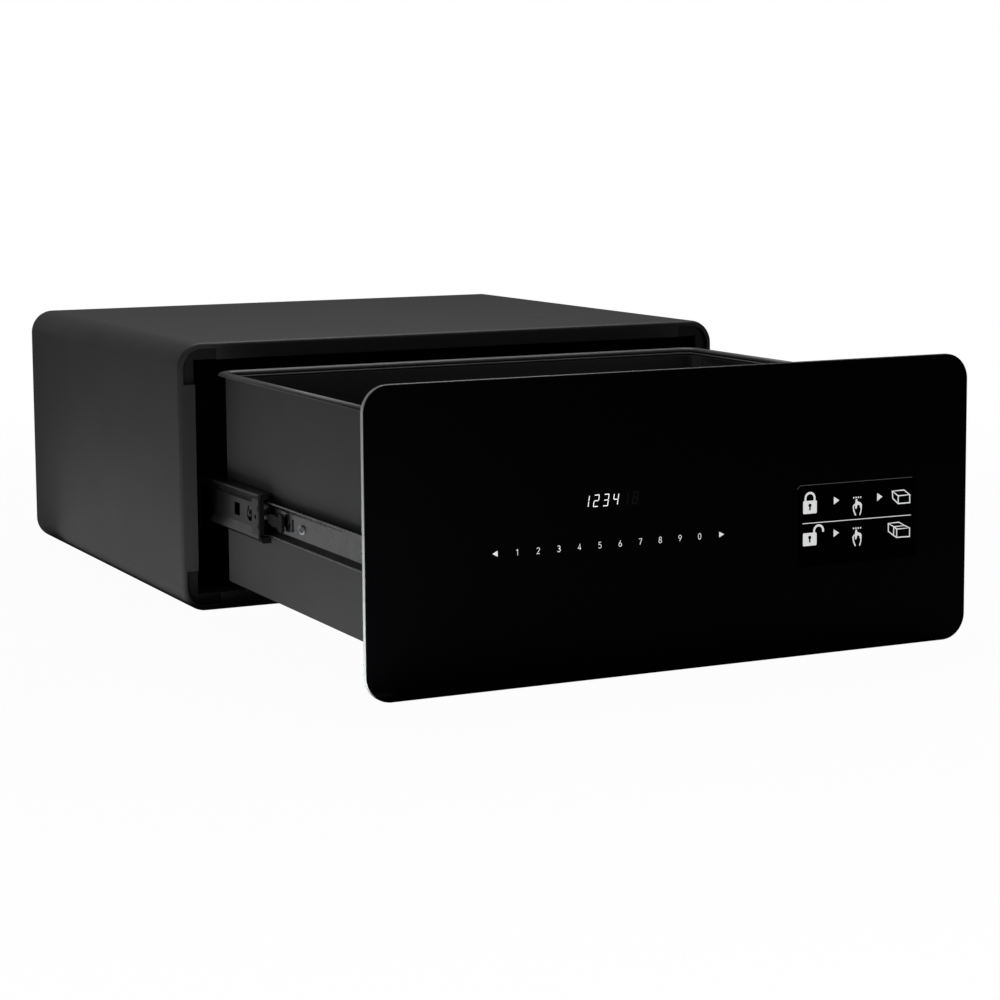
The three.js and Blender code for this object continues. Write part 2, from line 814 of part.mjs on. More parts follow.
// The lever that lets the drawer off its slides, on a pivot in the inner member
function releaseLever(side) {
  const tip = leverPivotY - leverLength;
  const outline = [
    [leverPivotY + leverEyeHalf, -leverWaistHalf],
    [leverPivotY + leverEyeHalf, leverWaistHalf],
    [leverPivotY - leverHalf, leverEyeHalf],
    [tip + leverTabLength, leverWaistHalf],
    [tip + leverTabLength - leverTabSlope, leverHalf],
    [tip, leverHalf],
    [tip, -leverHalf],
    [tip + leverTabLength - leverTabSlope, -leverHalf],
    [tip + leverTabLength, -leverWaistHalf],
    [leverPivotY - leverHalf, -leverEyeHalf],
  ].map(([y, height]) => [y, slideCentreHeight + height]);
  const edges = [sectionX(side, leverNear), sectionX(side, leverFar)].sort((a, b) => a - b);
  const body = alongX(outline, ...edges);
  const boss = rod(
    'x', sectionX(side, leverNear), sectionX(side, innerWebDepth - cageRunningGap), leverPivotY,
    slideCentreHeight, leverBossRadius, smallRoundSides,
  );
  return body.add(boss);
}

// A flat-headed screw, flush in the fixed slide member
function outerScrew(side, y) {
  return turned('x', [
    [0, sectionX(side, -slideScrewReach)],
    [slideScrewShaft, sectionX(side, -slideScrewReach)],
    [slideScrewShaft, sectionX(side, 0)],
    [slideScrewHead, sectionX(side, slideSheet)],
    [0, sectionX(side, slideSheet)],
  ], y, slideCentreHeight, smallRoundSides);
}

// The profile of a pan-headed screw from its tip to the top of its head
function panScrewProfile(tip, seat, way) {
  return [
    [0, tip],
    [panShaftRadius, tip],
    [panShaftRadius, seat],
    [panHeadRadius, seat],
    [panHeadRadius, seat + way * panHeadRim],
    [panCrownRadius, seat + way * panHeadHeight],
    [0, seat + way * panHeadHeight],
  ];
}

function innerScrew(side, y) {
  const tip = sectionX(side, slideThickness + drawerSheet);
  const seat = sectionX(side, innerWebDepth - seatGap / 2);
  return turned('x', panScrewProfile(tip, seat, side), y, slideCentreHeight, smallRoundSides);
}

// The plan of the drawer: straight sides and round rear corners, grown by an offset
function drawerPlan(offset, front) {
  const half = drawerHalf + offset;
  const rear = drawerDepth + offset;
  const radius = drawerCornerRadius + offset;
  const left = [-half + radius, rear - radius];
  const right = [half - radius, rear - radius];
  const arc = ([x, y], from) => Array.from({ length: cornerSteps + 1 }, (_, k) => {
    const angle = from + k / cornerSteps * Math.PI / 2;
    return [x + radius * Math.cos(angle), y + radius * Math.sin(angle)];
  });
  return [[half, front], ...arc(right, 0), ...arc(left, Math.PI / 2), [-half, front]];
}

// The drawer tray: floor, sides and back from one sheet, with a rolled hem along the rim
function drawerBox() {
  const front = plateBack + seatGap;
  const walls = alongZ(drawerPlan(0, front), drawerBottom, drawerTop);
  const hemRing = (offset, z) => drawerPlan(offset, front).map(([x, y]) => [x, y, z]);
  const hem = loft([
    hemRing(hemWidth - hemEdge, drawerTop - hemHeight),
    hemRing(hemWidth, drawerTop - hemHeight + hemEdge),
    hemRing(hemWidth, drawerTop - hemEdge),
    hemRing(hemWidth - hemEdge, drawerTop),
  ]);
  const inside = alongZ(drawerPlan(-drawerSheet, front - cutOver), drawerBottom + drawerSheet,
    drawerTop + cutOver);
  const tray = cut(walls.add(hem), [inside]);
  const tabs = [-1, 1].map((side) => block(
    side * (drawerHalf - drawerSheet / 2), side * (drawerHalf - frontTabWidth), front,
    front + drawerSheet, drawerBottom + frontTabMargin, drawerTop - frontTabMargin,
  ));
  const bolts = rod('x', -casingWidth, casingWidth, boltY, lockHeight, boltRadius + boltHoleGap);
  const sideHoles = [-1, 1].flatMap((side) => [innerScrewFrontY, innerScrewMiddleY, innerScrewRearY]
    .map((y) => webHole(side, y, 0, panShaftRadius + screwHoleGap, slideThickness - shortCutOver,
      slideThickness + drawerSheet + shortCutOver)));
  const floorHoles = [-1, 1].map((side) => rod(
    'z', drawerBottom - shortCutOver, drawerBottom + drawerSheet + shortCutOver,
    side * partitionScrewX, partitionY + partitionFoot / 2, panShaftRadius + screwHoleGap,
  ));
  return cut(join([tray, ...tabs]), [bolts, ...sideHoles, ...floorHoles]);
}

// The steel plate that carries the glass, cut out for the display and the touch strip
function frontPlate() {
  const low = panelMiddle - plateHeight / 2;
  const plate = alongY(
    roundedRectangle(-plateWidth / 2, plateWidth / 2, low, low + plateHeight, plateCornerRadius),
    plateFront, plateBack,
  );
  const windows = [
    [displayWidth, displayTall, displayHeight],
    [touchWidth, touchTall, touchHeight],
  ].map(([wide, tall, z]) => block(
    controlsX - wide / 2 - slidingGap, controlsX + wide / 2 + slidingGap,
    plateFront - cutOver, plateBack + cutOver,
    z - tall / 2 - slidingGap, z + tall / 2 + slidingGap,
  ));
  return cut(plate, windows);
}

// The black glass, with its front and back edges ground to a small arris
function glassPanel() {
  const ring = (y, inset) => roundedRectangle(
    -glassWidth / 2 + inset, glassWidth / 2 - inset,
    panelMiddle - glassHeight / 2 + inset, panelMiddle + glassHeight / 2 - inset,
    glassCornerRadius - inset, cornerSteps + 2,
  ).map(([x, z]) => [x, y, z]);
  return loft([
    ring(glassFront, glassArris),
    ring(glassFront + glassArris, 0),
    ring(glassBack - glassArris, 0),
    ring(glassBack, glassArris),
  ]);
}

function displayModule() {
  const front = glassBack + seatGap;
  const board = block(
    controlsX - displayWidth / 2, controlsX + displayWidth / 2, front, front + displayDepth,
    displayHeight - displayTall / 2, displayHeight + displayTall / 2,
  );
  const chips = [-1, 0, 1].map((place) => controlsX + place * chipPitch).map((x) => block(
    x - chipSide / 2, x + chipSide / 2,
    front + displayDepth - lapDepth, front + displayDepth + chipDepth,
    displayHeight - chipSide / 2, displayHeight + chipSide / 2,
  ));
  return join([board, ...chips]);
}

function touchBoard() {
  const front = glassBack + seatGap;
  const board = block(
    controlsX - touchWidth / 2, controlsX + touchWidth / 2, front, front + touchDepth,
    touchHeight - touchTall / 2, touchHeight + touchTall / 2,
  );
  const chip = block(
    controlsX - chipSide / 2, controlsX + chipSide / 2, front + touchDepth - lapDepth,
    front + touchDepth + chipDepth, touchHeight - chipSide / 2, touchHeight + chipSide / 2,
  );
  return board.add(chip);
}

// Half the angle that a gear tooth takes at a radius, from the involute of its base circle
function toothHalfAngle(radius) {
  const base = pitchRadius * Math.cos(pressureAngle);
  const involute = (angle) => Math.tan(angle) - angle;
  const atPitch = Math.PI / (2 * gearTeeth) - gearBacklash / (4 * pitchRadius);
  const here = Math.acos(Math.min(1, base / Math.max(radius, base)));
  return atPitch + involute(pressureAngle) - involute(here);
}

// The pinion outline, with a gap between teeth straight above and straight below its axis
function pinionOutline() {
  const root = pitchRadius - gearDedendum;
  const tip = pitchRadius + gearAddendum;
  const radii = [root, (root + pitchRadius) / 2, pitchRadius, (pitchRadius + tip) / 2, tip];
  const points = [];
  for (let tooth = 0; tooth < gearTeeth; tooth += 1) {
    const middle = Math.PI / 2 + (tooth + 0.5) * 2 * Math.PI / gearTeeth;
    radii.forEach((radius) => points.push([radius, middle - toothHalfAngle(radius)]));
    radii.slice().reverse().forEach((radius) => points.push([radius, middle + toothHalfAngle(radius)]));
  }
  return points.map(([radius, angle]) => [
    radius * Math.cos(angle), lockHeight + radius * Math.sin(angle),
  ]);
}

function lockPinion() {
  const wheel = alongY(pinionOutline(), boltY - gearWidth / 2, boltY + gearWidth / 2);
  const front = boltY - gearWidth / 2 - hubProud;
  const shaft = rod('y', front, boltY + gearWidth / 2 + shaftReach, 0, lockHeight, shaftRadius,
    smallRoundSides);
  return wheel.add(shaft);
}

// A bolt and its rack. The right bolt's rack passes over the pinion, the left bolt's under it
function lockBolt(side) {
  const nose = drawerHalf - boltSink;
  const heel = nose - boltLength;
  const shank = turned('x', [
    [0, side * heel],
    [boltRadius, side * heel],
    [boltRadius, side * (nose - boltNose)],
    [boltRadius - boltNose, side * nose],
    [0, side * nose],
  ], boltY, lockHeight);
  const rootLine = side * (pitchRadius + gearDedendum);
  const backLine = rootLine + side * rackTall;
  const y0 = boltY - gearWidth / 2;
  const y1 = boltY + gearWidth / 2;
  const rackEnd = -side * (boltTravel + rackOverrun);
  const bar = block(rackEnd, side * heel, y0, y1, lockHeight + rootLine, lockHeight + backLine);
  const post = block(side * (heel - rackHeel), side * (heel + rackHeelLap), y0, y1,
    lockHeight - side * boltRadius / 2, lockHeight + backLine);
  const pitch = Math.PI * gearModule;
  const halfAt = (height) => pitch / 4 - gearBacklash / 4 - height * Math.tan(pressureAngle);
  const teeth = [];
  for (let x = 0; x < boltTravel + rackOverrun - pitch / 2; x += pitch) {
    teeth.push(-side * x);
  }
  teeth.push(side * pitch, side * 2 * pitch);
  const cutTeeth = teeth.map((x) => alongY([
    [x - halfAt(-gearDedendum), lockHeight + rootLine + side * toothSink],
    [x + halfAt(-gearDedendum), lockHeight + rootLine + side * toothSink],
    [x + halfAt(-gearDedendum), lockHeight + rootLine],
    [x + halfAt(gearAddendum), lockHeight + side * (pitchRadius - gearAddendum)],
    [x - halfAt(gearAddendum), lockHeight + side * (pitchRadius - gearAddendum)],
    [x - halfAt(-gearDedendum), lockHeight + rootLine],
  ], y0, y1));
  return join([shank, bar, post, ...cutTeeth]);
}

// The stamped bracket that holds the motor behind the pinion
function lockBracket() {
  const front = plateBack + seatGap;
  const path = [
    [front, lockHeight - lockBracketTop - lockBracketFoot],
    [front, lockHeight - lockBracketTop],
    [lockBracketWebY, lockHeight - lockBracketTop],
    [lockBracketWebY, lockHeight + lockBracketTop],
    [front, lockHeight + lockBracketTop],
    [front, lockHeight + lockBracketTop + lockBracketFoot],
  ];
  const outline = sheetOutline(rounded(path, lockBracketBend, bendSteps - 1), -lockBracketSheet);
  const body = alongX(outline, -lockBracketHalf, lockBracketHalf);
  const shaftHole = rod('y', lockBracketWebY - cutOver, lockBracketWebY + cutOver, 0, lockHeight,
    shaftRadius + shaftHoleGap);
  return cut(body, [shaftHole]);
}

function lockMotor() {
  const front = lockBracketWebY + lockBracketSheet + seatGap;
  const gearbox = alongY(
    roundedRectangle(-motorSide / 2, motorSide / 2, lockHeight - motorSide / 2,
      lockHeight + motorSide / 2, motorCornerRadius, bendSteps - 1),
    front, front + gearboxDepth,
  );
  const can = rod('y', front + gearboxDepth / 2, front + gearboxDepth + canDepth, 0, lockHeight,
    canRadius);
  const bore = rod('y', front - cutOver, boltY + gearWidth / 2 + shaftReach + shaftHoleGap, 0, lockHeight,
    shaftRadius + screwHoleGap, smallRoundSides);
  return cut(gearbox.add(can), [bore]);
}

// A bent guide with two bored legs that the bolt slides in
function boltGuide(side) {
  const front = plateBack + seatGap;
  const path = [
    [side * guideInner, guideDepth],
    [side * guideInner, front],
    [side * guideOuter, front],
    [side * guideOuter, guideDepth],
  ];
  const outline = sheetOutline(rounded(path, guideBend, bendSteps - 1), side * guideSheet);
  const body = alongZ(outline, lockHeight - guideHalf, lockHeight + guideHalf);
  const bore = rod('x', side * (guideInner - cutOver), side * (guideOuter + cutOver), boltY, lockHeight,
    boltRadius + slidingGap);
  return cut(body, [bore]);
}

// Battery bay sizes, shared by the tray, the partition's window, the door and the cells
const bayHalfX = cellLength + cellNippleLength + cellGap * 2;
const bayHalfZ = 2 * cellRadius + cellGap / 2 + cellGap;
const doorHalfX = bayHalfX + batteryDoorMargin;
const doorLow = batteryHeight - bayHalfZ - batteryDoorMargin;
const hingeZ = doorLow - hingeBarrelRadius;
const hingeY = partitionY + seatGap + hingeBarrelRadius + hingeSetBack;

// The folded partition that shuts off the lock, with the battery window and hinge lugs
function partition() {
  const half = drawerHalf - drawerSheet - slidingGap;
  const floor = drawerBottom + drawerSheet + seatGap;
  const front = plateBack + seatGap + drawerSheet + seatGap;
  const path = [
    [partitionY + partitionFoot, floor],
    [partitionY - partitionSheet, floor],
    [partitionY - partitionSheet, partitionTop - partitionSheet],
    [front + partitionSheet, partitionTop - partitionSheet],
    [front + partitionSheet, partitionTop - partitionLip],
  ];
  const outline = sheetOutline(rounded(path, partitionSheet, bendSteps - 1), -partitionSheet);
  const folded = alongX(outline, -half, half);
  const window = block(
    batteryX - bayHalfX, batteryX + bayHalfX, partitionY - cutOver, partitionY + cutOver,
    batteryHeight - bayHalfZ, batteryHeight + bayHalfZ,
  );
  const lugs = [-1, 1].map((way) => block(
    batteryX + way * (doorHalfX + slidingGap),
    batteryX + way * (doorHalfX + slidingGap + hingeLugSheet),
    partitionY - partitionSheet / 2, hingeY + hingeLugHalf, hingeZ - hingeLugHalf,
    hingeZ + hingeLugHalf,
  ));
  const lugReach = doorHalfX + hingeLugSheet + cutOver;
  const pinBore = rod('x', batteryX - lugReach, batteryX + lugReach, hingeY, hingeZ,
    hingePinRadius + hingePinGap, smallRoundSides);
  const screwHoles = [-1, 1].map((side) => rod(
    'z', floor - shortCutOver, floor + partitionSheet + shortCutOver, side * partitionScrewX,
    partitionY + partitionFoot / 2, panShaftRadius + screwHoleGap,
  ));
  const lipNotch = block(
    -lockBracketHalf - lipNotchGap, lockBracketHalf + lipNotchGap, front - lipNotchGap,
    front + 2 * partitionSheet, partitionTop - partitionLip - lipNotchGap,
    partitionTop - 2 * partitionSheet,
  );
  return cut(join([folded, ...lugs]), [window, pinBore, lipNotch, ...screwHoles]);
}

function partitionScrew(side) {
  const seat = drawerBottom + drawerSheet + seatGap + partitionSheet + seatGap / 2;
  return turned('z', panScrewProfile(drawerBottom - panHeadHeight, seat, 1),
    side * partitionScrewX, partitionY + partitionFoot / 2, smallRoundSides);
}

// The open tray that holds the cells against the partition
function batteryTray() {
  const rear = partitionY - partitionSheet - seatGap;
  const outer = block(
    batteryX - bayHalfX - trayWall, batteryX + bayHalfX + trayWall, rear - trayDepth, rear,
    batteryHeight - bayHalfZ - trayWall, batteryHeight + bayHalfZ + trayWall,
  );
  const bay = block(
    batteryX - bayHalfX, batteryX + bayHalfX, rear - trayDepth + trayWall, rear + cutOver,
    batteryHeight - bayHalfZ, batteryHeight + bayHalfZ,
  );
  return cut(outer, [bay]);
}

// One battery cell lying along X, its positive end outwards
function batteryCell(wayX, wayZ) {
  const y = partitionY - partitionSheet - seatGap - trayDepth + trayWall + cellGap + cellRadius;
  const z = batteryHeight + wayZ * (cellRadius + cellGap / 2);
  const near = batteryX + wayX * cellGap;
  const far = near + wayX * cellLength;
  return turned('x', [
    [0, near],
    [cellRadius, near],
    [cellRadius, far],
    [cellNipple, far],
    [cellNipple, far + wayX * cellNippleLength],
    [0, far + wayX * cellNippleLength],
  ], y, z, smallRoundSides);
}

// The battery door, hinged along its lower edge
function batteryDoor() {
  const y0 = partitionY + seatGap;
  const top = batteryHeight + bayHalfZ + batteryDoorMargin;
  const leaf = block(batteryX - doorHalfX, batteryX + doorHalfX, y0, y0 + batteryDoorSheet,
    hingeZ, top);
  const pinReach = doorHalfX + slidingGap + hingeLugSheet + hingePinProud;
  const barrel = turned('x', [
    [0, batteryX - pinReach],
    [hingePinRadius, batteryX - pinReach],
    [hingePinRadius, batteryX - doorHalfX],
    [hingeBarrelRadius, batteryX - doorHalfX],
    [hingeBarrelRadius, batteryX + doorHalfX],
    [hingePinRadius, batteryX + doorHalfX],
    [hingePinRadius, batteryX + pinReach],
    [0, batteryX + pinReach],
  ], hingeY, hingeZ, smallRoundSides);
  const ledge = block(batteryX - doorLedgeHalf, batteryX + doorLedgeHalf, y0 + lapDepth,
    y0 + batteryDoorSheet + doorLedge, top - batteryDoorSheet, top);
  return join([leaf, barrel, ledge]);
}

// The felt lining: a floor and three walls, each a board of its own
function liner(part) {
  const low = drawerBottom + drawerSheet + seatGap;
  const half = drawerHalf - drawerSheet - seatGap;
  const rear = drawerDepth - drawerSheet - seatGap;
  const front = partitionY + partitionFoot + seatGap;
  const wallLow = low + feltThickness + seatGap;
  const wallFront = partitionY + seatGap;
  const corner = drawerCornerRadius;
  const returnFront = rear - corner - feltReturn;
  if (part === 'floor') {
    return alongZ([[half, front], [half, rear - corner], [half - corner, rear],
      [-half + corner, rear], [-half, rear - corner], [-half, front]], low, low + feltThickness);
  }
  if (part === 'rear') {
    const offset = -drawerSheet - seatGap;
    const inside = alongZ(drawerPlan(offset - feltThickness, returnFront - cutOver),
      wallLow - cutOver, feltTop + cutOver);
    return cut(alongZ(drawerPlan(offset, returnFront), wallLow, feltTop), [inside]);
  }
  const side = part === 'left' ? -1 : 1;
  return block(side * half, side * (half - feltThickness), wallFront, returnFront - seatGap,
    wallLow, feltTop);
}

function ejectorPost(side) {
  const x = side * ejectorX;
  const back = backInner - seatGap;
  const tip = back - ejectorPostLength;
  return turned('y', [
    [0, back],
    [ejectorBaseRadius, back],
    [ejectorBaseRadius, back - ejectorBaseThickness],
    [ejectorPostRadius, back - ejectorBaseThickness],
    [ejectorPostRadius, tip + ejectorPostTaper],
    [ejectorPostRadius - ejectorPostTaper, tip],
    [0, tip],
  ], x, ejectorHeight, smallRoundSides);
}

// The centre line of an ejector spring, with one straight step of wire at each end
function springPath(side) {
  const rear = backInner - seatGap - ejectorBaseThickness - seatGap - springWire / 2;
  const rise = springFreeLength - springWire;
  const steps = springTurns * springStepsPerTurn;
  const points = [];
  for (let k = 0; k <= steps; k += 1) {
    const angle = 2 * Math.PI * k / springStepsPerTurn;
    points.push(new THREE.Vector3(
      side * ejectorX + springRadius * Math.cos(angle),
      rear - rise * k / steps,
      ejectorHeight + springRadius * Math.sin(angle),
    ));
  }
  const straight = (from, to) => to.clone().addScaledVector(
    to.clone().sub(from).setComponent(1, 0).normalize(), springWire,
  );
  points.unshift(straight(points[1], points[0]));
  points.push(straight(points[steps], points[steps + 1]));
  return points;
}

// The least gap between the wire's own turns, measured between points that aren't neighbours
function leastGap(points) {
  let least = Infinity;
  for (let i = 0; i < points.length; i += 1) {
    for (let k = i + springStepsPerTurn / 2; k < points.length; k += 1) {
      least = Math.min(least, points[i].distanceTo(points[k]) - springWire);
    }
  }
  return least;
}

function ejectorSpring(side) {
  const points = springPath(side);
  console.log(`ejector spring: least gap between turns ${leastGap(points).toFixed(2)} mm`);
  const rings = points.map((point, i) => {
    const before = points[Math.max(i - 1, 0)];
    const after = points[Math.min(i + 1, points.length - 1)];
    const along = after.clone().sub(before).normalize();
    const outward = new THREE.Vector3(0, 1, 0).cross(along).normalize();
    const across = along.clone().cross(outward);
    return Array.from({ length: springSides }, (_, k) => {
      const angle = 2 * Math.PI * k / springSides;
      return point.clone()
        .addScaledVector(outward, springWire / 2 * Math.cos(angle))
        .addScaledVector(across, springWire / 2 * Math.sin(angle))
        .toArray();
    });
  });
  return loft(rings);
}

const sides = [['left', -1], ['right', 1]];

function casingGroup() {
  const group = new THREE.Group();
  group.add(
    named('casing_shell', casingShell(), steel),
    named('casing_back_plate', casingBackPlate(), steel),
    named('front_frame', frontFrame(), darkSteel),
  );
  for (const [word, side] of sides) {
    group.add(
      named(`slide_bracket_${word}`, slideBracket(side), darkSteel),
      named(`slide_outer_${word}`, slideOuter(side), zinc),
      named(`outer_screw_${word}_front`, outerScrew(side, outerScrewFrontY), brightZinc),
      named(`outer_screw_${word}_rear`, outerScrew(side, outerScrewRearY), brightZinc),
      named(`ejector_post_${word}`, ejectorPost(side), zinc),
      named(`ejector_spring_${word}`, ejectorSpring(side), springSteel),
    );
  }
  return group;
}

function middleSlideGroup() {
  const group = new THREE.Group();
  for (const [word, side] of sides) {
    group.add(
      named(`slide_middle_${word}`, slideMiddle(side), zinc),
      named(`end_cap_${word}`, endCap(side), blackPlastic),
    );
  }
  return group;
}

function cageGroup(name, make) {
  const group = new THREE.Group();
  for (const [word, side] of sides) {
    group.add(named(`${name}_${word}`, make(side), zinc));
  }
  return group;
}

function drawerGroup() {
  const group = new THREE.Group();
  group.add(
    named('drawer_box', drawerBox(), steel),
    named('front_plate', frontPlate(), darkSteel),
    named('glass_panel', glassPanel(), glass),
    named('display_module', displayModule(), greenBoard),
    named('touch_board', touchBoard(), greenBoard),
    named('partition', partition(), steel),
    named('battery_tray', batteryTray(), blackPlastic),
    named('battery_door', batteryDoor(), blackPlastic),
    named('lock_bracket', lockBracket(), zinc),
    named('lock_motor', lockMotor(), zinc),
    named('lock_pinion', lockPinion(), brightZinc),
  );
  for (const part of ['floor', 'rear', 'left', 'right']) {
    group.add(named(`liner_${part}`, liner(part), felt));
  }
  for (const [column, wayX] of sides) {
    group.add(named(`battery_cell_lower_${column}`, batteryCell(wayX, -1), cellWrap));
    group.add(named(`battery_cell_upper_${column}`, batteryCell(wayX, 1), cellWrap));
  }
  for (const [word, side] of sides) {
    group.add(
      named(`slide_inner_${word}`, slideInner(side), zinc),
      named(`inner_screw_${word}_front`, innerScrew(side, innerScrewFrontY), brightZinc),
      named(`inner_screw_${word}_middle`, innerScrew(side, innerScrewMiddleY), brightZinc),
      named(`inner_screw_${word}_rear`, innerScrew(side, innerScrewRearY), brightZinc),
      named(`release_lever_${word}`, releaseLever(side), blackPlastic),
      named(`partition_screw_${word}`, partitionScrew(side), brightZinc),
      named(`bolt_guide_${word}`, boltGuide(side), zinc),
      named(`lock_bolt_${word}`, lockBolt(side), brightZinc),
    );
  }
  return group;
}

// Each group is drawn out by its share of the drawer's travel
function safe() {
  const whole = new THREE.Group();
  const shares = [
    [casingGroup(), 0],
    [cageGroup('ball_cage_outer', outerCage), 0.25],
    [middleSlideGroup(), 0.5],
    [cageGroup('ball_cage_inner', innerCage), 0.75],
    [drawerGroup(), 1],
  ];
  for (const [group, share] of shares) {
    group.position.y = -share * drawerTravel - casingDepth / 2;
    whole.add(group);
  }
  return whole;
}

export default safe();
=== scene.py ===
# Drawer safe for under a desk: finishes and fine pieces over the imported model.
# Metres, +Z up, the front faces -Y, the drawer drawn out at rest.

import math

import bmesh
import bpy
from bpy.props import FloatProperty, FloatVectorProperty, IntProperty, PointerProperty
from mathutils import Matrix, Vector


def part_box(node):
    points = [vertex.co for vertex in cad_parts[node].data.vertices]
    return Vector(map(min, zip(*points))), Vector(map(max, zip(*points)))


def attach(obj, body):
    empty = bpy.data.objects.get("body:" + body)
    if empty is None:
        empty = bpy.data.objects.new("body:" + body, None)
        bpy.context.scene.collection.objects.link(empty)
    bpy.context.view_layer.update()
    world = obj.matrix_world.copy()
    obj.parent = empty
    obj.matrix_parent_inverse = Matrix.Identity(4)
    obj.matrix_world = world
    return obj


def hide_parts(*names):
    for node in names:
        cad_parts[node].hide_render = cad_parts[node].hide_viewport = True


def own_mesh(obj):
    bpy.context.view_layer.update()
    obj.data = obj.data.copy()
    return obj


bl_info = {
    "name": "Under desk drawer safe",
    "version": (1, 0, 0),
    "blender": (4, 5, 0),
    "location": "3D View > Sidebar > Drawer safe",
    "description": "Finishes a drawer safe with ball-bearing slides and a glass front",
    "category": "Object",
}

MM = 0.001
PRINT_DEPTH = 0.02 * MM

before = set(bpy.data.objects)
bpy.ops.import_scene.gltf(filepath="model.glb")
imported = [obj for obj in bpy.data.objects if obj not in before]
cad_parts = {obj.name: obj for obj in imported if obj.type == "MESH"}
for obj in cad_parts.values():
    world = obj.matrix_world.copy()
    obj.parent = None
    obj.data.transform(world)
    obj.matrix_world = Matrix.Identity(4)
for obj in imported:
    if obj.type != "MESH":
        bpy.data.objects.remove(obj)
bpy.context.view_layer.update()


def linear(colour):
    """A colour written as sRGB hex, as linear red, green, blue and alpha."""
    parts = [int(colour[i:i + 2], 16) / 255 for i in (0, 2, 4)]
    return [c / 12.92 if c <= 0.04045 else ((c + 0.055) / 1.055) ** 2.4 for c in parts] + [1.0]


def hex_colour(name, description, colour):
    """A colour setting whose default is written as sRGB hex."""
    return FloatVectorProperty(
        name=name, description=description, subtype="COLOR", size=4, min=0, max=1,
        default=linear(colour),
    )


def length(name, description, millimetres):
    """A length setting, its default in millimetres."""
    return FloatProperty(
        name=name, description=description, default=millimetres * MM, unit="LENGTH")


class SafeFinishes(bpy.types.PropertyGroup):
    """Colours of the safe's finishes."""
    casing: hex_colour("Casing coat", "Powder coat of the casing", "303030")
    drawer: hex_colour("Drawer coat", "Powder coat of the drawer", "303030")
    # The collar's coat, darker than the casing's, is painted shade of the recessed mouth and its
    # notches
    collar: hex_colour("Collar coat", "Powder coat of the collar in the mouth", "1a1a1a")
    # The rim's colour, lighter than the drawer's, is a painted highlight along the rounded rim
    rim: hex_colour("Rim coat", "Coat of the drawer's rim, rubbed brighter by hands", "444444")
    # The dark inner coat is painted shade on the brackets inside the casing and the carrier behind the
    # glass
    inner: hex_colour("Inner coat", "Powder coat of brackets and carrier", "141414")
    glass: hex_colour("Glass", "Glass printed black from behind", "060608")
    glass_edge: hex_colour("Glass edge", "Ground long edges of the glass", "3e4244")
    black_zinc: hex_colour("Black zinc", "Plating of the middle slides", "545455")
    # The drawer slides carry the same plating as the middle slides; their lighter colour is painted
    # light
    drawer_zinc: hex_colour("Drawer slide zinc", "Plating of the drawer's slides", "9a9a9c")
    bright_zinc: hex_colour("Bright zinc", "Plating of screws and small stampings", "c3c6c9")
    nylon: hex_colour("Nylon", "Moulded end caps and levers", "0c0c0c")
    felt: hex_colour("Felt", "Lining of the drawer", "0f0f0f")
    print_white: hex_colour("White print", "Symbols on the glass", "f2f3f4")


class SafePrints(bpy.types.PropertyGroup):
    """Sizes of what is printed on the glass."""
    key_pitch: length("Key pitch", "From one number key to the next", 15.06)
    key_line: length("Key line", "Width of the line that the numbers are drawn with", 0.43)
    key_height: length("Key height", "Height of a number on the glass", 4.35)
    digit_height: length("Digit height", "Height of a display digit", 7.5)
    digit_pitch: length("Digit pitch", "From one display digit to the next", 7.23)
    digit_count: IntProperty(
        name="Digits", description="Places on the display", default=6, min=1, max=8)


class SafeFine(bpy.types.PropertyGroup):
    """Sizes of the fine shapes."""
    sheet_edge: length("Sheet edge", "Rounding on the edges of coated sheet", 0.45)
    stamped_edge: length("Stamped edge", "Rounding on the edges of plated stampings", 0.2)
    glass_arris: length("Glass arris", "Width of the ground edge of the glass", 0.5)
    spring_turns: FloatProperty(
        name="Spring turns", description="Turns of each ejector spring", default=10)
    felt_fibres: FloatProperty(
        name="Felt fibres", description="Loose fibres to a square centimetre of felt", default=3.0)


# Materials

def add(tree, kind, inputs=None, **settings):
    """Adds a node with its settings and its inputs: values, or the nodes or sockets they come from."""
    made = tree.nodes.new(kind)
    for name, value in settings.items():
        setattr(made, name, value)
    for key, value in (inputs or {}).items():
        socket = made.inputs[key]
        for source in value if socket.is_multi_input else [value]:
            if isinstance(source, bpy.types.Node):
                source = source.outputs[0]
            if isinstance(source, bpy.types.NodeSocket):
                tree.links.new(source, socket)
            else:
                socket.default_value = source
    return made


def new_material(name):
    """An empty material; returns it, its tree and a place in object space."""
    material = bpy.data.materials.new(name)
    material.use_nodes = True
    tree = material.node_tree
    tree.nodes.clear()
    return material, tree, add(tree, "ShaderNodeTexCoord").outputs["Object"]


def finish(material, tree, inputs):
    """Ends a material with its surface, made from the inputs, and its output."""
    surface = add(tree, "ShaderNodeBsdfPrincipled", inputs)
    add(tree, "ShaderNodeOutputMaterial", {"Surface": surface})
    return material


def mottled(tree, place, colour, patch, amount):
    """The colour, varied a little from place to place in patches of a size in metres."""
    noise = add(tree, "ShaderNodeTexNoise", {"Vector": place, "Scale": 1 / patch, "Detail": 3.0})
    low = [c * (1 - amount) for c in colour[:3]] + [1]
    high = [min(1, c * (1 + amount)) for c in colour[:3]] + [1]
    return add(tree, "ShaderNodeMixRGB", {"Fac": noise, "Color1": low, "Color2": high})


def wandering(tree, place, patch, low, high, detail=2.0):
    """A value that wanders between low and high, in patches of a size in metres."""
    noise = add(tree, "ShaderNodeTexNoise", {"Vector": place, "Scale": 1 / patch, "Detail": detail})
    return add(tree, "ShaderNodeMapRange", {
        "Value": noise, "From Min": 0.3, "From Max": 0.7, "To Min": low, "To Max": high})


def grained(tree, place, spacing, strength, depth, detail=2.0):
    """The normal of a surface with a fine grain, its spacing and depth in metres."""
    noise = add(tree, "ShaderNodeTexNoise", {"Vector": place, "Scale": 1 / spacing, "Detail": detail})
    return add(tree, "ShaderNodeBump", {"Height": noise, "Strength": strength, "Distance": depth})


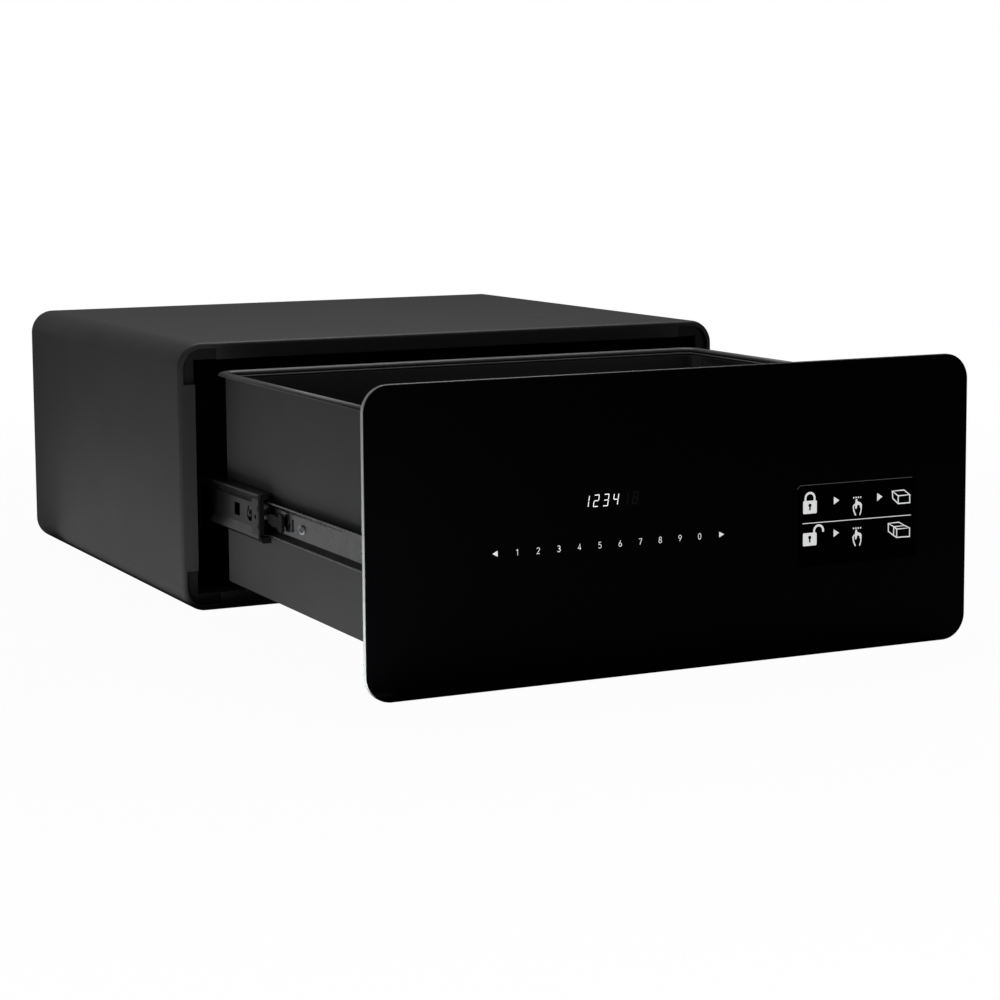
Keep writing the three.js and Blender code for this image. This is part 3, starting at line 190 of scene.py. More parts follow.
def powder_coat(name, colour, gloss_low=0.5, gloss_high=0.54):
    """Epoxy-polyester powder coat, baked on: matt, with a fine orange peel that breaks up highlights.

    The peel's bumps are about 0.4 mm apart and are drawn 0.9 mm apart, so that they show.
    """
    material, tree, place = new_material(name)
    return finish(material, tree, {
        "Base Color": mottled(tree, place, colour, 4 * MM, 0.03),
        "Roughness": wandering(tree, place, 60 * MM, gloss_low, gloss_high, 1.0),
        "Specular IOR Level": 0.3,
        "Normal": grained(tree, place, 0.9 * MM, 0.35, 0.04 * MM)})


def back_printed_glass(colour):
    """Float glass printed black from behind: dark and flat, with faint sharp reflections."""
    material, tree, place = new_material("back_printed_glass")
    return finish(material, tree, {
        "Base Color": mottled(tree, place, colour, 120 * MM, 0.04),
        "Roughness": wandering(tree, place, 80 * MM, 0.03, 0.06),
        "IOR": 1.52,
        "Specular IOR Level": 0.03})


def ground_glass_edge(colour, side_highlight_colour):
    """Glass edge, ground with a fine wheel: pale, with a soft sheen along it.

    The edges at the sides are drawn brighter than the long ones, by the way they face: a painted
    highlight.
    """
    material, tree, place = new_material("ground_glass_edge")
    facing = add(tree, "ShaderNodeNewGeometry").outputs["Normal"]
    across = add(tree, "ShaderNodeSeparateXYZ", {0: facing})
    sideways = add(tree, "ShaderNodeMath", {0: across}, operation="ABSOLUTE")
    # Share of the painted highlight, from how far the edge faces sideways
    side_highlight_share = add(tree, "ShaderNodeMapRange", {"Value": sideways, "From Min": 0.1, "From Max": 0.9})
    tone = add(tree, "ShaderNodeMixRGB", {
        "Fac": side_highlight_share, "Color1": mottled(tree, place, colour, 40 * MM, 0.15),
        "Color2": side_highlight_colour})
    return finish(material, tree, {
        "Base Color": tone,
        "Roughness": wandering(tree, place, 1.5 * MM, 0.16, 0.26, 3.0),
        "IOR": 1.52,
        "Specular IOR Level": 0.9,
        "Normal": grained(tree, place, 1.5 * MM, 0.2, 0.02 * MM, 3.0)})


def plated_steel(name, colour, rough_low, rough_high):
    """Zinc or nickel plate on rolled steel: a metal sheen with fine lines along the rolling direction.

    The lines are about 0.1 mm apart and are drawn 0.7 mm apart, so that they show.
    """
    material, tree, place = new_material(name)
    rolled = add(tree, "ShaderNodeMapping", {"Vector": place, "Scale": (1, 1 / 12, 1)})
    return finish(material, tree, {
        "Base Color": mottled(tree, place, colour, 22 * MM, 0.06),
        "Metallic": 1.0,
        "Roughness": wandering(tree, place, 14 * MM, rough_low, rough_high, 4.0),
        "Normal": grained(tree, rolled, 0.7 * MM, 0.25, 0.015 * MM, 3.0)})


def moulded_plastic(name, colour, rough_low, rough_high):
    """Nylon or ABS moulded in a lightly eroded tool: smooth, with a soft gloss."""
    material, tree, place = new_material(name)
    return finish(material, tree, {
        "Base Color": mottled(tree, place, colour, 9 * MM, 0.08),
        "Roughness": wandering(tree, place, 0.6 * MM, rough_low, rough_high),
        "IOR": 1.53,
        "Specular IOR Level": 0.25,
        "Normal": grained(tree, place, 0.6 * MM, 0.3, 0.03 * MM)})


def pressed_felt(colour):
    """Pressed polyester felt: no gloss, a soft sheen at a glance, and matted fibres.

    Fibres are about 0.03 mm thick and are drawn 0.8 mm wide, so that the matting shows.
    """
    material, tree, place = new_material("pressed_felt")
    fibres = add(tree, "ShaderNodeTexNoise", {
        "Vector": place, "Scale": 1 / (0.8 * MM), "Detail": 6.0, "Roughness": 0.75, "Distortion": 1.5})
    clumps = add(tree, "ShaderNodeTexNoise", {"Vector": place, "Scale": 1 / (5 * MM), "Detail": 3.0})
    matting = add(tree, "ShaderNodeMath", {0: fibres, 1: clumps}, operation="MULTIPLY")
    bump = add(tree, "ShaderNodeBump", {"Height": matting, "Strength": 1.0, "Distance": 0.5 * MM})
    return finish(material, tree, {
        "Base Color": mottled(tree, place, colour, 0.9 * MM, 0.5),
        "Roughness": 1.0,
        "Specular IOR Level": 0.1,
        "Sheen Weight": 0.05,
        "Sheen Roughness": 0.5,
        "Normal": bump})


def ink(name, colour, glow=0.0, rough=0.5, gloss=0.5):
    """Screen-printed ink, fired on the glass. The keys and digits are lit from behind; the glow of the
    label's inks and of the unlit segments is painted light.
    """
    material, tree, place = new_material(name)
    shade = mottled(tree, place, colour, 0.6 * MM, 0.05)
    inputs = {
        "Base Color": shade,
        "Roughness": wandering(tree, place, 0.5 * MM, rough * 0.85, rough),
        "Specular IOR Level": gloss}
    if glow:
        inputs["Emission Color"] = shade
        inputs["Emission Strength"] = glow
    return finish(material, tree, inputs)


def solder_mask():
    """Green solder mask over copper: glossy, with tracks that show as faint raised lines."""
    material, tree, place = new_material("solder_mask")
    tracks = add(tree, "ShaderNodeTexBrick", {
        "Vector": place, "Scale": 1 / (6 * MM), "Mortar Size": 0.06,
        "Color1": linear("16452a"), "Color2": linear("1a4f31"), "Mortar": linear("2a6b44")})
    bump = add(tree, "ShaderNodeBump", {
        "Height": tracks.outputs["Fac"], "Strength": 0.5, "Distance": 0.05 * MM})
    return finish(material, tree, {"Base Color": tracks, "Roughness": 0.25, "Normal": bump})


def shrink_sleeve():
    """Printed shrink sleeve of a battery cell: glossy, green with a copper-coloured band."""
    material, tree, place = new_material("shrink_sleeve")
    bands = add(tree, "ShaderNodeTexWave", {
        "Vector": place, "Scale": 1 / (90 * MM), "Distortion": 0.2}, bands_direction="X")
    share = add(tree, "ShaderNodeMapRange", {
        "Value": bands.outputs["Fac"], "From Min": 0.3, "From Max": 0.7})
    tone = add(tree, "ShaderNodeMixRGB", {
        "Fac": share, "Color1": linear("2a5b40"), "Color2": linear("9a6a3c")})
    return finish(material, tree, {"Base Color": tone, "Roughness": 0.3, "Metallic": 0.2})


finishes = {}


def make_finishes():
    """Makes every material once, from the colours in the panel."""
    shades = bpy.context.scene.safe_finishes
    finishes.update(
        casing=powder_coat("powder_coated_casing", shades.casing),
        drawer=powder_coat("powder_coated_drawer", shades.drawer),
        # Darker than the casing: painted shade
        collar=powder_coat("powder_coated_collar_painted_shade", shades.collar),
        # The rim's lighter coat is a painted highlight
        rim=powder_coat("powder_coated_rim_painted_highlight", shades.rim, 0.38, 0.44),
        # Dark inner coat: painted shade
        inner=powder_coat("powder_coated_inside_painted_shade", shades.inner),
        glass=back_printed_glass(shades.glass),
        # The pale colour is a painted highlight on the side edges
        glass_edge=ground_glass_edge(shades.glass_edge, linear("b8bcbc")),
        black_zinc=plated_steel("black_zinc_plate", shades.black_zinc, 0.2, 0.26),
        # Lighter copy of the black zinc: painted light
        drawer_zinc=plated_steel("black_zinc_painted_light", shades.drawer_zinc, 0.24, 0.3),
        # Dark zinc: grease in the ball tracks, and painted shade on them and on the fixed members
        greased_zinc=plated_steel("greased_black_zinc_painted_shade", linear("1a1a1b"), 0.45, 0.55),
        bright_zinc=plated_steel("bright_zinc_plate", shades.bright_zinc, 0.2, 0.34),
        nickel=plated_steel("nickel_plated_steel", linear("cfcbc4"), 0.12, 0.22),
        wire=plated_steel("drawn_spring_wire", linear("8f9194"), 0.25, 0.4),
        nylon=moulded_plastic("moulded_nylon", shades.nylon, 0.5, 0.6),
        abs=moulded_plastic("moulded_abs", linear("1b1b1c"), 0.4, 0.55),
        felt=pressed_felt(shades.felt),
        board=solder_mask(),
        sleeve=shrink_sleeve(),
        key_ink=ink("backlit_key_ink", shades.print_white, glow=0.62),
        # The label's inks glow though no lamp lies behind them: painted light
        label_ink=ink("label_white_ink_painted_glow", shades.print_white, glow=0.6),
        label_line=ink("label_grey_ink_painted_glow", linear("77787a"), glow=0.25),
        label_black=ink("label_black_ink", linear("020202"), rough=0.7, gloss=0.02),
        lit=ink("lit_segment", linear("ffffff"), glow=0.95),
        # Unlit segments glow faintly though they are off: painted light
        unlit=ink("unlit_segment_painted_glow", linear("1c1c1e"), glow=0.4, gloss=0.03),
        window=ink("display_window", linear("0b0b0c"), rough=0.3, gloss=0.03),
    )


def painted(node, finish_name):
    """Gives a CAD node that stays as it is its real finish."""
    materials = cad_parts[node].data.materials
    materials.clear()
    materials.append(finishes[finish_name])


# Meshes

def new_object(name, data):
    """An object in the scene that shows the data."""
    piece = bpy.data.objects.new(name, data)
    bpy.context.scene.collection.objects.link(piece)
    return piece


def frozen(piece, name=None):
    """The piece with its modifiers made into one plain mesh."""
    bpy.context.view_layer.update()
    graph = bpy.context.evaluated_depsgraph_get()
    mesh = bpy.data.meshes.new_from_object(piece.evaluated_get(graph), depsgraph=graph)
    final = name or piece.name
    old = piece.data
    bpy.data.objects.remove(piece)
    if old.users == 0 and isinstance(old, bpy.types.Mesh):
        bpy.data.meshes.remove(old)
    mesh.name = final
    return new_object(final, mesh)


def settle(piece, body, slot, *nodes):
    """Puts a finished piece on its body, in place of its CAD nodes. The slot is not used."""
    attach(piece, body)
    if nodes:
        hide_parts(*nodes)
    return piece


def softened(piece, edge, segments=2, angle=40):
    """Rounds the sharp edges and keeps flat faces flat in the shading."""
    for polygon in piece.data.polygons:
        polygon.use_smooth = True
    bevel = piece.modifiers.new("edges", "BEVEL")
    bevel.width = edge
    bevel.segments = segments
    bevel.limit_method = "ANGLE"
    bevel.angle_limit = math.radians(angle)
    bevel.use_clamp_overlap = False
    bevel.harden_normals = False
    flat = piece.modifiers.new("flats", "WEIGHTED_NORMAL")
    flat.keep_sharp = True
    flat.weight = 80
    return frozen(piece)


def merged(node):
    """A copy of a CAD node's mesh, its loose triangles joined up into flat faces."""
    mesh = bmesh.new()
    mesh.from_mesh(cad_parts[node].data)
    bmesh.ops.remove_doubles(mesh, verts=mesh.verts, dist=1e-6)
    bmesh.ops.dissolve_limit(
        mesh, angle_limit=math.radians(0.5), use_dissolve_boundaries=False,
        verts=mesh.verts, edges=mesh.edges)
    return mesh


def mesh_object(name, mesh, *materials):
    """An object with the mesh and its materials; a face whose material is missing takes the last."""
    data = bpy.data.meshes.new(name)
    mesh.to_mesh(data)
    mesh.free()
    for material in materials:
        data.materials.append(material)
    for polygon in data.polygons:
        polygon.material_index = min(polygon.material_index, max(0, len(materials) - 1))
    return new_object(name, data)


def dressed(name, node, body, slot, finish_name, edge, segments=2, trim=None):
    """A CAD node with softened edges and its finish, which for some pieces holds painted light or
    shade; trim changes the copy first.
    """
    mesh = merged(node)
    if trim:
        trim(mesh)
    piece = softened(mesh_object(name, mesh, finishes[finish_name]), edge, segments)
    return settle(piece, body, slot, node)


def glass_middle():
    """The height of the glass's middle, from which the prints are measured."""
    return sum(corner.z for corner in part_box("glass_panel")) / 2


def filled(name, loops, front, material):
    """A printed shape: loops of (x, z) in millimetres from the glass's middle, with holes."""
    curve = bpy.data.curves.new(name, "CURVE")
    curve.dimensions = "2D"
    curve.fill_mode = "BOTH"
    curve.extrude = PRINT_DEPTH / 2
    for loop in loops:
        spline = curve.splines.new("POLY")
        spline.points.add(len(loop) - 1)
        for point, (x, z) in zip(spline.points, loop):
            point.co = (x * MM, z * MM, 0, 1)
        spline.use_cyclic_u = True
    piece = frozen(new_object(name + "_flat", curve), name)
    piece.data.transform(Matrix(
        ((1, 0, 0, 0), (0, 0, -1, front), (0, 1, 0, glass_middle()), (0, 0, 0, 1))))
    piece.data.materials.clear()
    piece.data.materials.append(material)
    return piece


def ribbon(name, points, width, front, material, closed=False):
    """A printed line of even width through points of (x, z) in millimetres."""
    line = [Vector(p) for p in points]
    count = len(line)
    middle = glass_middle()
    mesh = bmesh.new()
    rows = []
    for k, here in enumerate(line):
        into = here - line[k - 1] if k or closed else line[1] - here
        out = line[(k + 1) % count] - here if k + 1 < count or closed else into
        sides = [Vector((-v.y, v.x)).normalized() for v in (into, out)]
        normal = (sides[0] + sides[1]).normalized()
        reach = normal * (width / 2 / max(0.5, normal.dot(sides[0])))
        rows.append([mesh.verts.new((p.x * MM, front + way * PRINT_DEPTH / 2, middle + p.y * MM))
                     for p, way in ((here + reach, -1), (here - reach, -1),
                                    (here - reach, 1), (here + reach, 1))])
    skin(mesh, rows + rows[:1] if closed else rows)
    if not closed:
        cap(mesh, rows)
    bmesh.ops.recalc_face_normals(mesh, faces=mesh.faces)
    return mesh_object(name, mesh, material)


def joined(name, pieces):
    """Several meshes as one, each with its own material kept."""
    materials = []
    mesh = bmesh.new()
    for piece in pieces:
        material = piece.data.materials[0]
        if material not in materials:
            materials.append(material)
        start = len(mesh.faces)
        mesh.from_mesh(piece.data)
        mesh.faces.ensure_lookup_table()
        for face in list(mesh.faces)[start:]:
            face.material_index = materials.index(material)
    for piece in pieces:
        data = piece.data
        bpy.data.objects.remove(piece)
        bpy.data.meshes.remove(data)
    return mesh_object(name, mesh, *materials)


def arc(x, z, radius, start, end, steps=12):
    """Points on an arc, from start to end in degrees."""
    return [(x + radius * math.cos(math.radians(start + (end - start) * k / steps)),
             z + radius * math.sin(math.radians(start + (end - start) * k / steps)))
            for k in range(steps + 1)]


def round_box(x0, x1, z0, z1, radius, steps=6):
    """A rectangle with round corners, anticlockwise from the top right."""
    left, right, low, high = x0 + radius, x1 - radius, z0 + radius, z1 - radius
    centres = ((right, high), (left, high), (left, low), (right, low))
    return [point for k, (x, z) in enumerate(centres)
            for point in arc(x, z, radius, 90 * k, 90 * k + 90, steps)]


def oval(x, z, wide, tall, start=0, end=360, steps=18):
    """Points on an ellipse of half sizes wide and tall, from start to end in degrees."""
    return [(x + wide * a, z + tall * b) for a, b in arc(0, 0, 1, start, end, steps)]


# Geometry nodes

SOCKETS = {
    float: "NodeSocketFloat", int: "NodeSocketInt", tuple: "NodeSocketVector",
    type(None): "NodeSocketMaterial",
}


def new_tree(name, inputs):
    """A geometry tree with named inputs and their defaults, where None stands for a material."""
    tree = bpy.data.node_groups.new(name, "GeometryNodeTree")
    tree.interface.new_socket("Geometry", in_out="INPUT", socket_type="NodeSocketGeometry")
    for socket, default in inputs.items():
        kind = SOCKETS[type(default)]
        made = tree.interface.new_socket(socket, in_out="INPUT", socket_type=kind)
        made.default_value = default
    tree.interface.new_socket("Geometry", in_out="OUTPUT", socket_type="NodeSocketGeometry")
    return tree, add(tree, "NodeGroupInput").outputs


def end_tree(tree, geometry):
    """Ends a tree with its instances made real and its material set."""
    group_input = next(n for n in tree.nodes if n.bl_idname == "NodeGroupInput")
    real = add(tree, "GeometryNodeRealizeInstances", {"Geometry": geometry})
    coated = add(tree, "GeometryNodeSetMaterial", {
        "Geometry": real, "Material": group_input.outputs["Material"]})
    add(tree, "NodeGroupOutput", {"Geometry": coated})
    return tree


def grown(name, tree, base, values):
    """Runs a tree on a base mesh, with values or else its defaults, and keeps one plain mesh."""
    holder = new_object(name + "_base", base)
    modifier = holder.modifiers.new("grow", "NODES")
    modifier.node_group = tree
    for item in tree.interface.items_tree:
        if item.in_out == "INPUT" and item.name != "Geometry":
            modifier[item.identifier] = values.get(item.name, item.default_value)
    return frozen(holder, name)


def points_mesh(name, places, turns):
    """Points to set pieces on, each with its turn as Euler angles."""
    mesh = bpy.data.meshes.new(name)
    mesh.from_pydata(places, [], [])
    attribute = mesh.attributes.new("turn", "FLOAT_VECTOR", "POINT")
    for item, turn in zip(attribute.data, turns):
        item.vector = turn
    return mesh


def spring_tree():
    """A compression spring: a helix with a round wire, from its seat to its free end."""
    tree, given = new_tree("ejector_spring", {
        "Turns": 10.0, "Coil radius": 8 * MM, "Wire radius": 0.9 * MM, "Length": 82 * MM,
        "Seat": (0, 0, 0), "Material": None})
    helix = add(tree, "GeometryNodeCurveSpiral", {
        "Resolution": 28, "Rotations": given["Turns"], "Start Radius": given["Coil radius"],
        "End Radius": given["Coil radius"], "Height": given["Length"]})
    wire = add(tree, "GeometryNodeCurvePrimitiveCircle", {
        "Resolution": 10, "Radius": given["Wire radius"]})
    tube = add(tree, "GeometryNodeCurveToMesh", {
        "Curve": helix, "Profile Curve": wire, "Fill Caps": True})
    placed = add(tree, "GeometryNodeTransform", {
        "Geometry": tube, "Translation": given["Seat"], "Rotation": (math.radians(90), 0, 0)})
    return end_tree(tree, placed)


def pan_head_tree():
    """Pan-headed screws on points: a turned head with a cross recess."""
    tree, given = new_tree("pan_head_screws", {
        "Head radius": 3.5 * MM, "Head height": 1.7 * MM, "Shank radius": 1.95 * MM,
        "Shank length": 3.2 * MM, "Recess width": 0.9 * MM, "Recess length": 3.9 * MM,
        "Material": None})
    radius, height = given["Head radius"], given["Head height"]
    wide, long = given["Recess width"], given["Recess length"]

    def raised(mesh, size, share):
        """The mesh, moved up by a share of a size."""
        rise = add(tree, "ShaderNodeMath", {0: size, 1: share}, operation="MULTIPLY")
        up = add(tree, "ShaderNodeCombineXYZ", {"Z": rise})
        return add(tree, "GeometryNodeTransform", {"Geometry": mesh, "Translation": up})

    def recess_arm(x, y):
        """One arm of the cross, standing in the head's top."""
        size = add(tree, "ShaderNodeCombineXYZ", {"X": x, "Y": y, "Z": height})
        return raised(add(tree, "GeometryNodeMeshCube", {"Size": size}), height, 1.0)

    half = add(tree, "ShaderNodeMath", {0: height, 1: 0.5}, operation="MULTIPLY")
    crown = add(tree, "ShaderNodeMath", {0: radius, 1: 0.62}, operation="MULTIPLY")
    rim = add(tree, "GeometryNodeMeshCylinder", {"Vertices": 28, "Radius": radius, "Depth": half})
    dome = add(tree, "GeometryNodeMeshCone", {
        "Vertices": 28, "Radius Top": crown, "Radius Bottom": radius, "Depth": half})
    shank = add(tree, "GeometryNodeMeshCylinder", {
        "Vertices": 20, "Radius": given["Shank radius"], "Depth": given["Shank length"]})
    screw = add(tree, "GeometryNodeMeshBoolean", {
        "Mesh 2": [raised(rim, height, 0.25), raised(dome, height, 0.5),
                   raised(shank, given["Shank length"], -0.499)]},
        operation="UNION", solver="EXACT")
    recessed = add(tree, "GeometryNodeMeshBoolean", {
        "Mesh 1": screw, "Mesh 2": [recess_arm(long, wide), recess_arm(wide, long)]},
        operation="DIFFERENCE", solver="EXACT")
    turn = add(tree, "GeometryNodeInputNamedAttribute", {"Name": "turn"}, data_type="FLOAT_VECTOR")
    rotation = add(tree, "FunctionNodeEulerToRotation", {"Euler": turn.outputs["Attribute"]})
    set_on = add(tree, "GeometryNodeInstanceOnPoints", {
        "Points": given["Geometry"], "Instance": recessed, "Rotation": rotation})
    return end_tree(tree, set_on)


def fibres_tree():
    """Loose fibres that stand a little out of felt, scattered with a fixed seed.

    They are about 0.03 mm thick and are drawn 0.1 mm thick, so that they show.
    """
    tree, given = new_tree("felt_fibres", {
        "Density": 30000.0, "Length": 1.0 * MM, "Radius": 0.05 * MM, "Seed": 7,
        "Material": None})
    places = add(tree, "GeometryNodeDistributePointsOnFaces", {
        "Mesh": given["Geometry"], "Density": given["Density"], "Seed": given["Seed"]})
    fibre = add(tree, "GeometryNodeMeshCone", {
        "Vertices": 3, "Radius Top": given["Radius"], "Radius Bottom": given["Radius"],
        "Depth": given["Length"]})
    lean = add(tree, "FunctionNodeRandomValue", {
        "Min": (-1.2, -1.2, -1.2), "Max": (1.2, 1.2, 1.2), "Seed": given["Seed"]},
        data_type="FLOAT_VECTOR")
    set_on = add(tree, "GeometryNodeInstanceOnPoints", {
        "Points": places, "Instance": fibre, "Rotation": lean})
    whole = add(tree, "GeometryNodeJoinGeometry", {0: [given["Geometry"], set_on]})
    return end_tree(tree, whole)


# Pieces

def ring(mesh, loop, y):
    """New points on a loop of (x, z), at a depth y, all in millimetres."""
    return [mesh.verts.new((x * MM, y * MM, z * MM)) for x, z in loop]


def skin(mesh, rings, closed=True):
    """Faces from each ring, or open row, to the next, which has equally many points."""
    for first, second in zip(rings, rings[1:]):
        count = len(first)
        for k in range(count if closed else count - 1):
            mesh.faces.new((first[k], first[(k + 1) % count], second[(k + 1) % count], second[k]))


def cap(mesh, rings):
    """Closes the first and the last ring with a face each."""
    return [mesh.faces.new(rings[0]), mesh.faces.new(rings[-1][::-1])]


def fill_between(mesh, outer, inner):
    """Faces between two flat rings with different points."""
    edges = []
    for loop in (outer, inner):
        for a, b in zip(loop, loop[1:] + loop[:1]):
            edges.append(mesh.edges.get((a, b)) or mesh.edges.new((a, b)))
    bmesh.ops.triangle_fill(mesh, use_beauty=True, use_dissolve=False, edges=edges)


class SAFE_OT_casing(bpy.types.Operator):
    """Casing: a folded tube with round corners, flanges that stop at notches, and its back."""
    bl_idname = "safe.casing"
    bl_label = "Casing"

    def execute(self, context):
        edge = context.scene.safe_fine.sheet_edge
        low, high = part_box("casing_shell")
        half, tall = (high.x - low.x) / 2 / MM, (high.z - low.z) / MM
        front, back = low.y / MM, high.y / MM
        corner, sheet, bend, corner_steps, bend_steps = 19, 3, 2.5, 14, 6
        # The flange's width at the sides, at the top and in a notch, and how far in a notch ends
        side, top, notch, reach = 13.4, 12.8, 4.2, 31
        mesh = bmesh.new()

        def tube(y, inset):
            """One ring of the tube, that far in from its outside."""
            return ring(mesh, round_box(
                -half + inset, half - inset, inset, tall - inset, corner - inset, corner_steps), y)

        def inwards(across, up):
            """A point that far in from the side and from the top or base, in the present corner."""
            return sx * (half - across), tall / 2 + sz * (tall / 2 - up)

        turns = [math.radians(90 * k / bend_steps) for k in range(bend_steps + 1)]
        outer = [tube(front + bend * (1 - math.cos(t)), bend * (1 - math.sin(t))) for t in turns]
        outer.append(tube(back, 0))
        inner = [tube(back, sheet), tube(front + sheet, sheet)]
        skin(mesh, outer + inner)
        mouth = []
        for quarter, (sx, sz) in enumerate(((1, 1), (-1, 1), (-1, -1), (1, -1))):
            start = 90 * quarter
            parts = [[inwards(side, reach), inwards(notch, reach)],
                     arc(*inwards(corner, corner), corner - notch, start, start + 90, 8),
                     [inwards(reach, notch), inwards(reach, top)]]
            if quarter % 2:
                parts = [parts[2][::-1], parts[1], parts[0][::-1]]
            mouth += sum(parts, [])
        near, far = ring(mesh, mouth, front), ring(mesh, mouth, front + sheet)
        skin(mesh, [near, far])
        fill_between(mesh, outer[0], near)
        fill_between(mesh, inner[-1], far)
        bmesh.ops.recalc_face_normals(mesh, faces=mesh.faces)
        tube_sheet = mesh_object("casing_sheet", mesh, finishes["casing"])

        drills = bmesh.new()
        anchor_radius, anchor_x, anchor_y = 5 * MM, 150, 120
        for x in (-anchor_x, anchor_x):
            for y in (-anchor_y, anchor_y):
                middle = Matrix.Translation((x * MM, ((front + back) / 2 + y) * MM, 0))
                bmesh.ops.create_cone(
                    drills, cap_ends=True, segments=32, matrix=middle, radius1=anchor_radius,
                    radius2=anchor_radius, depth=4 * sheet * MM)
        tool = mesh_object("anchor_drills", drills)
        holes = tube_sheet.modifiers.new("anchor_holes", "BOOLEAN")
        holes.object = tool
        holes.solver = "EXACT"
        piece = softened(tube_sheet, edge, angle=50)
        bpy.data.objects.remove(tool)
        settle(piece, "casing", "casing_coat", "casing_shell")
        dressed("casing_back_sheet", "casing_back_plate", "casing", "casing_coat", "casing", edge)
        # The collar's darker coat is painted shade of the recessed mouth
        dressed("mouth_collar", "front_frame", "casing", "inner_coat", "collar", edge)
        return {"FINISHED"}


class SAFE_OT_slides(bpy.types.Operator):
    """Slides: brackets, fixed, middle and inner members, end caps and levers."""
    bl_idname = "safe.slides"
    bl_label = "Slides"

    def execute(self, context):
        edge = context.scene.safe_fine.stamped_edge
        for side in ("left", "right"):
            # The brackets' dark coat is painted shade inside the casing
            dressed(f"slide_bracket_{side}_fine", f"slide_bracket_{side}", "casing", "inner_coat",
                    "inner", edge)
            # The fixed member's dark finish is painted shade, where it lies in shadow behind the
            # collar
            dressed(f"slide_fixed_{side}", f"slide_outer_{side}", "casing", "black_zinc",
                    "greased_zinc", edge)
            dressed(f"slide_intermediate_{side}", f"slide_middle_{side}", f"middle_{side}",
                    "black_zinc", "black_zinc", edge)
            # The drawer member's lighter zinc is painted light
            member = dressed(f"slide_drawer_{side}", f"slide_inner_{side}", "drawer",
                             "black_zinc", "drawer_zinc", edge)
            # Faces that slope upwards in the lower half are ball tracks, dark with grease and with
            # painted shade, as they face away from the light from below
            member.data.materials.append(finishes["greased_zinc"])
            middle = sum(corner.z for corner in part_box(f"slide_inner_{side}")) / 2
            for face in member.data.polygons:
                if 0.3 < face.normal.z < 0.95 and face.center.z < middle:
                    face.material_index = 1
            dressed(f"cap_{side}", f"end_cap_{side}", f"middle_{side}", "black_plastic",
                    "nylon", 2 * edge, 3)
            dressed(f"lever_{side}", f"release_lever_{side}", f"lever_{side}", "black_plastic",
                    "nylon", 1.5 * edge, 3)
        return {"FINISHED"}


class SAFE_OT_cages(bpy.types.Operator):
    """Ball cages: plated strips with rows of bearing balls."""
    bl_idname = "safe.cages"
    bl_label = "Ball cages"

    def execute(self, context):
        for cage in ("outer", "inner"):
            for side in ("left", "right"):
                painted(f"ball_cage_{cage}_{side}", "bright_zinc")
        return {"FINISHED"}


class SAFE_OT_drawer(bpy.types.Operator):
    """Drawer: the coated tray with its rolled rim, the partition and the plate behind the glass."""
    bl_idname = "safe.drawer"
    bl_label = "Drawer"

    def execute(self, context):
        fine = context.scene.safe_fine
        low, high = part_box("drawer_box")
        hem, corner, top = 5.3, 11, high.z / MM
        half, rear, front = high.x / MM - hem, high.y / MM - hem, low.y / MM
        # Height of the plain hem, and how far down and out it may reach for the roll to hide it
        hem_height, hem_down, hem_out = 2.5, 1.5, 2

        def tuck(mesh):
            """Draws the plain hem in under the roll."""
            for vertex in mesh.verts:
                if vertex.co.z > (top - hem_height) * MM:
                    vertex.co.z = min(vertex.co.z, (top - hem_down) * MM)
                    core = Vector((max(corner - half, min(half - corner, vertex.co.x / MM)),
                                   min(rear - corner, vertex.co.y / MM))) * MM
                    out = vertex.co.xy - core
                    if out.length > (corner + hem_out) * MM:
                        vertex.co.xy = core + out.normalized() * (corner + hem_out) * MM

        dressed("drawer_tray", "drawer_box", "drawer", "drawer_coat", "drawer", fine.sheet_edge,
                trim=tuck)
        # The roll's section, outwards from the tray's wall and up from its top
        roll = ([(5.5, -2.2), (5.6, -1.7), (5.3, -1.1), (4.6, -0.6), (3.6, -0.1), (2.6, 0.2)]
                + oval(1.7, -2.2, 3.3, 2.6, 90, 180, 8)
                + [(-1.6, -2.9), (-1.2, -3.3)] + arc(-1.2, -4.4, 1.1, 90, 200, 5)
                + [(-1.8, -5.4), (-0.6, -5.6), (-0.6, -2.8), (5.1, -2.4)])
        corner_steps = 10
        mesh = bmesh.new()
        rows = []
        for out, up in roll:
            wall, turn = half + out, corner + out
            rear_corners = round_box(
                -wall, wall, -rear - out, rear + out, turn, corner_steps)[:2 * corner_steps + 2]
            plan = [(wall, front)] + rear_corners + [(-wall, front)]
            rows.append([mesh.verts.new((x * MM, y * MM, (top + up) * MM)) for x, y in plan])
        skin(mesh, rows + rows[:1], closed=False)
        cap(mesh, [[row[0] for row in rows], [row[-1] for row in rows]])
        bmesh.ops.recalc_face_normals(mesh, faces=mesh.faces)
        # The underside and the two ends keep flat shading
        for face in mesh.faces:
            face.smooth = face.normal.z > -0.3 and len(face.verts) == 4
        # The rim's lighter coat is a painted highlight
        settle(mesh_object("drawer_rim", mesh, finishes["rim"]), "drawer", "drawer_coat")
        dressed("drawer_partition", "partition", "drawer", "drawer_coat", "drawer",
                fine.stamped_edge)
        # The carrier's dark coat is painted shade behind the glass
        dressed("glass_carrier", "front_plate", "drawer", "inner_coat", "inner", fine.stamped_edge)
        return {"FINISHED"}


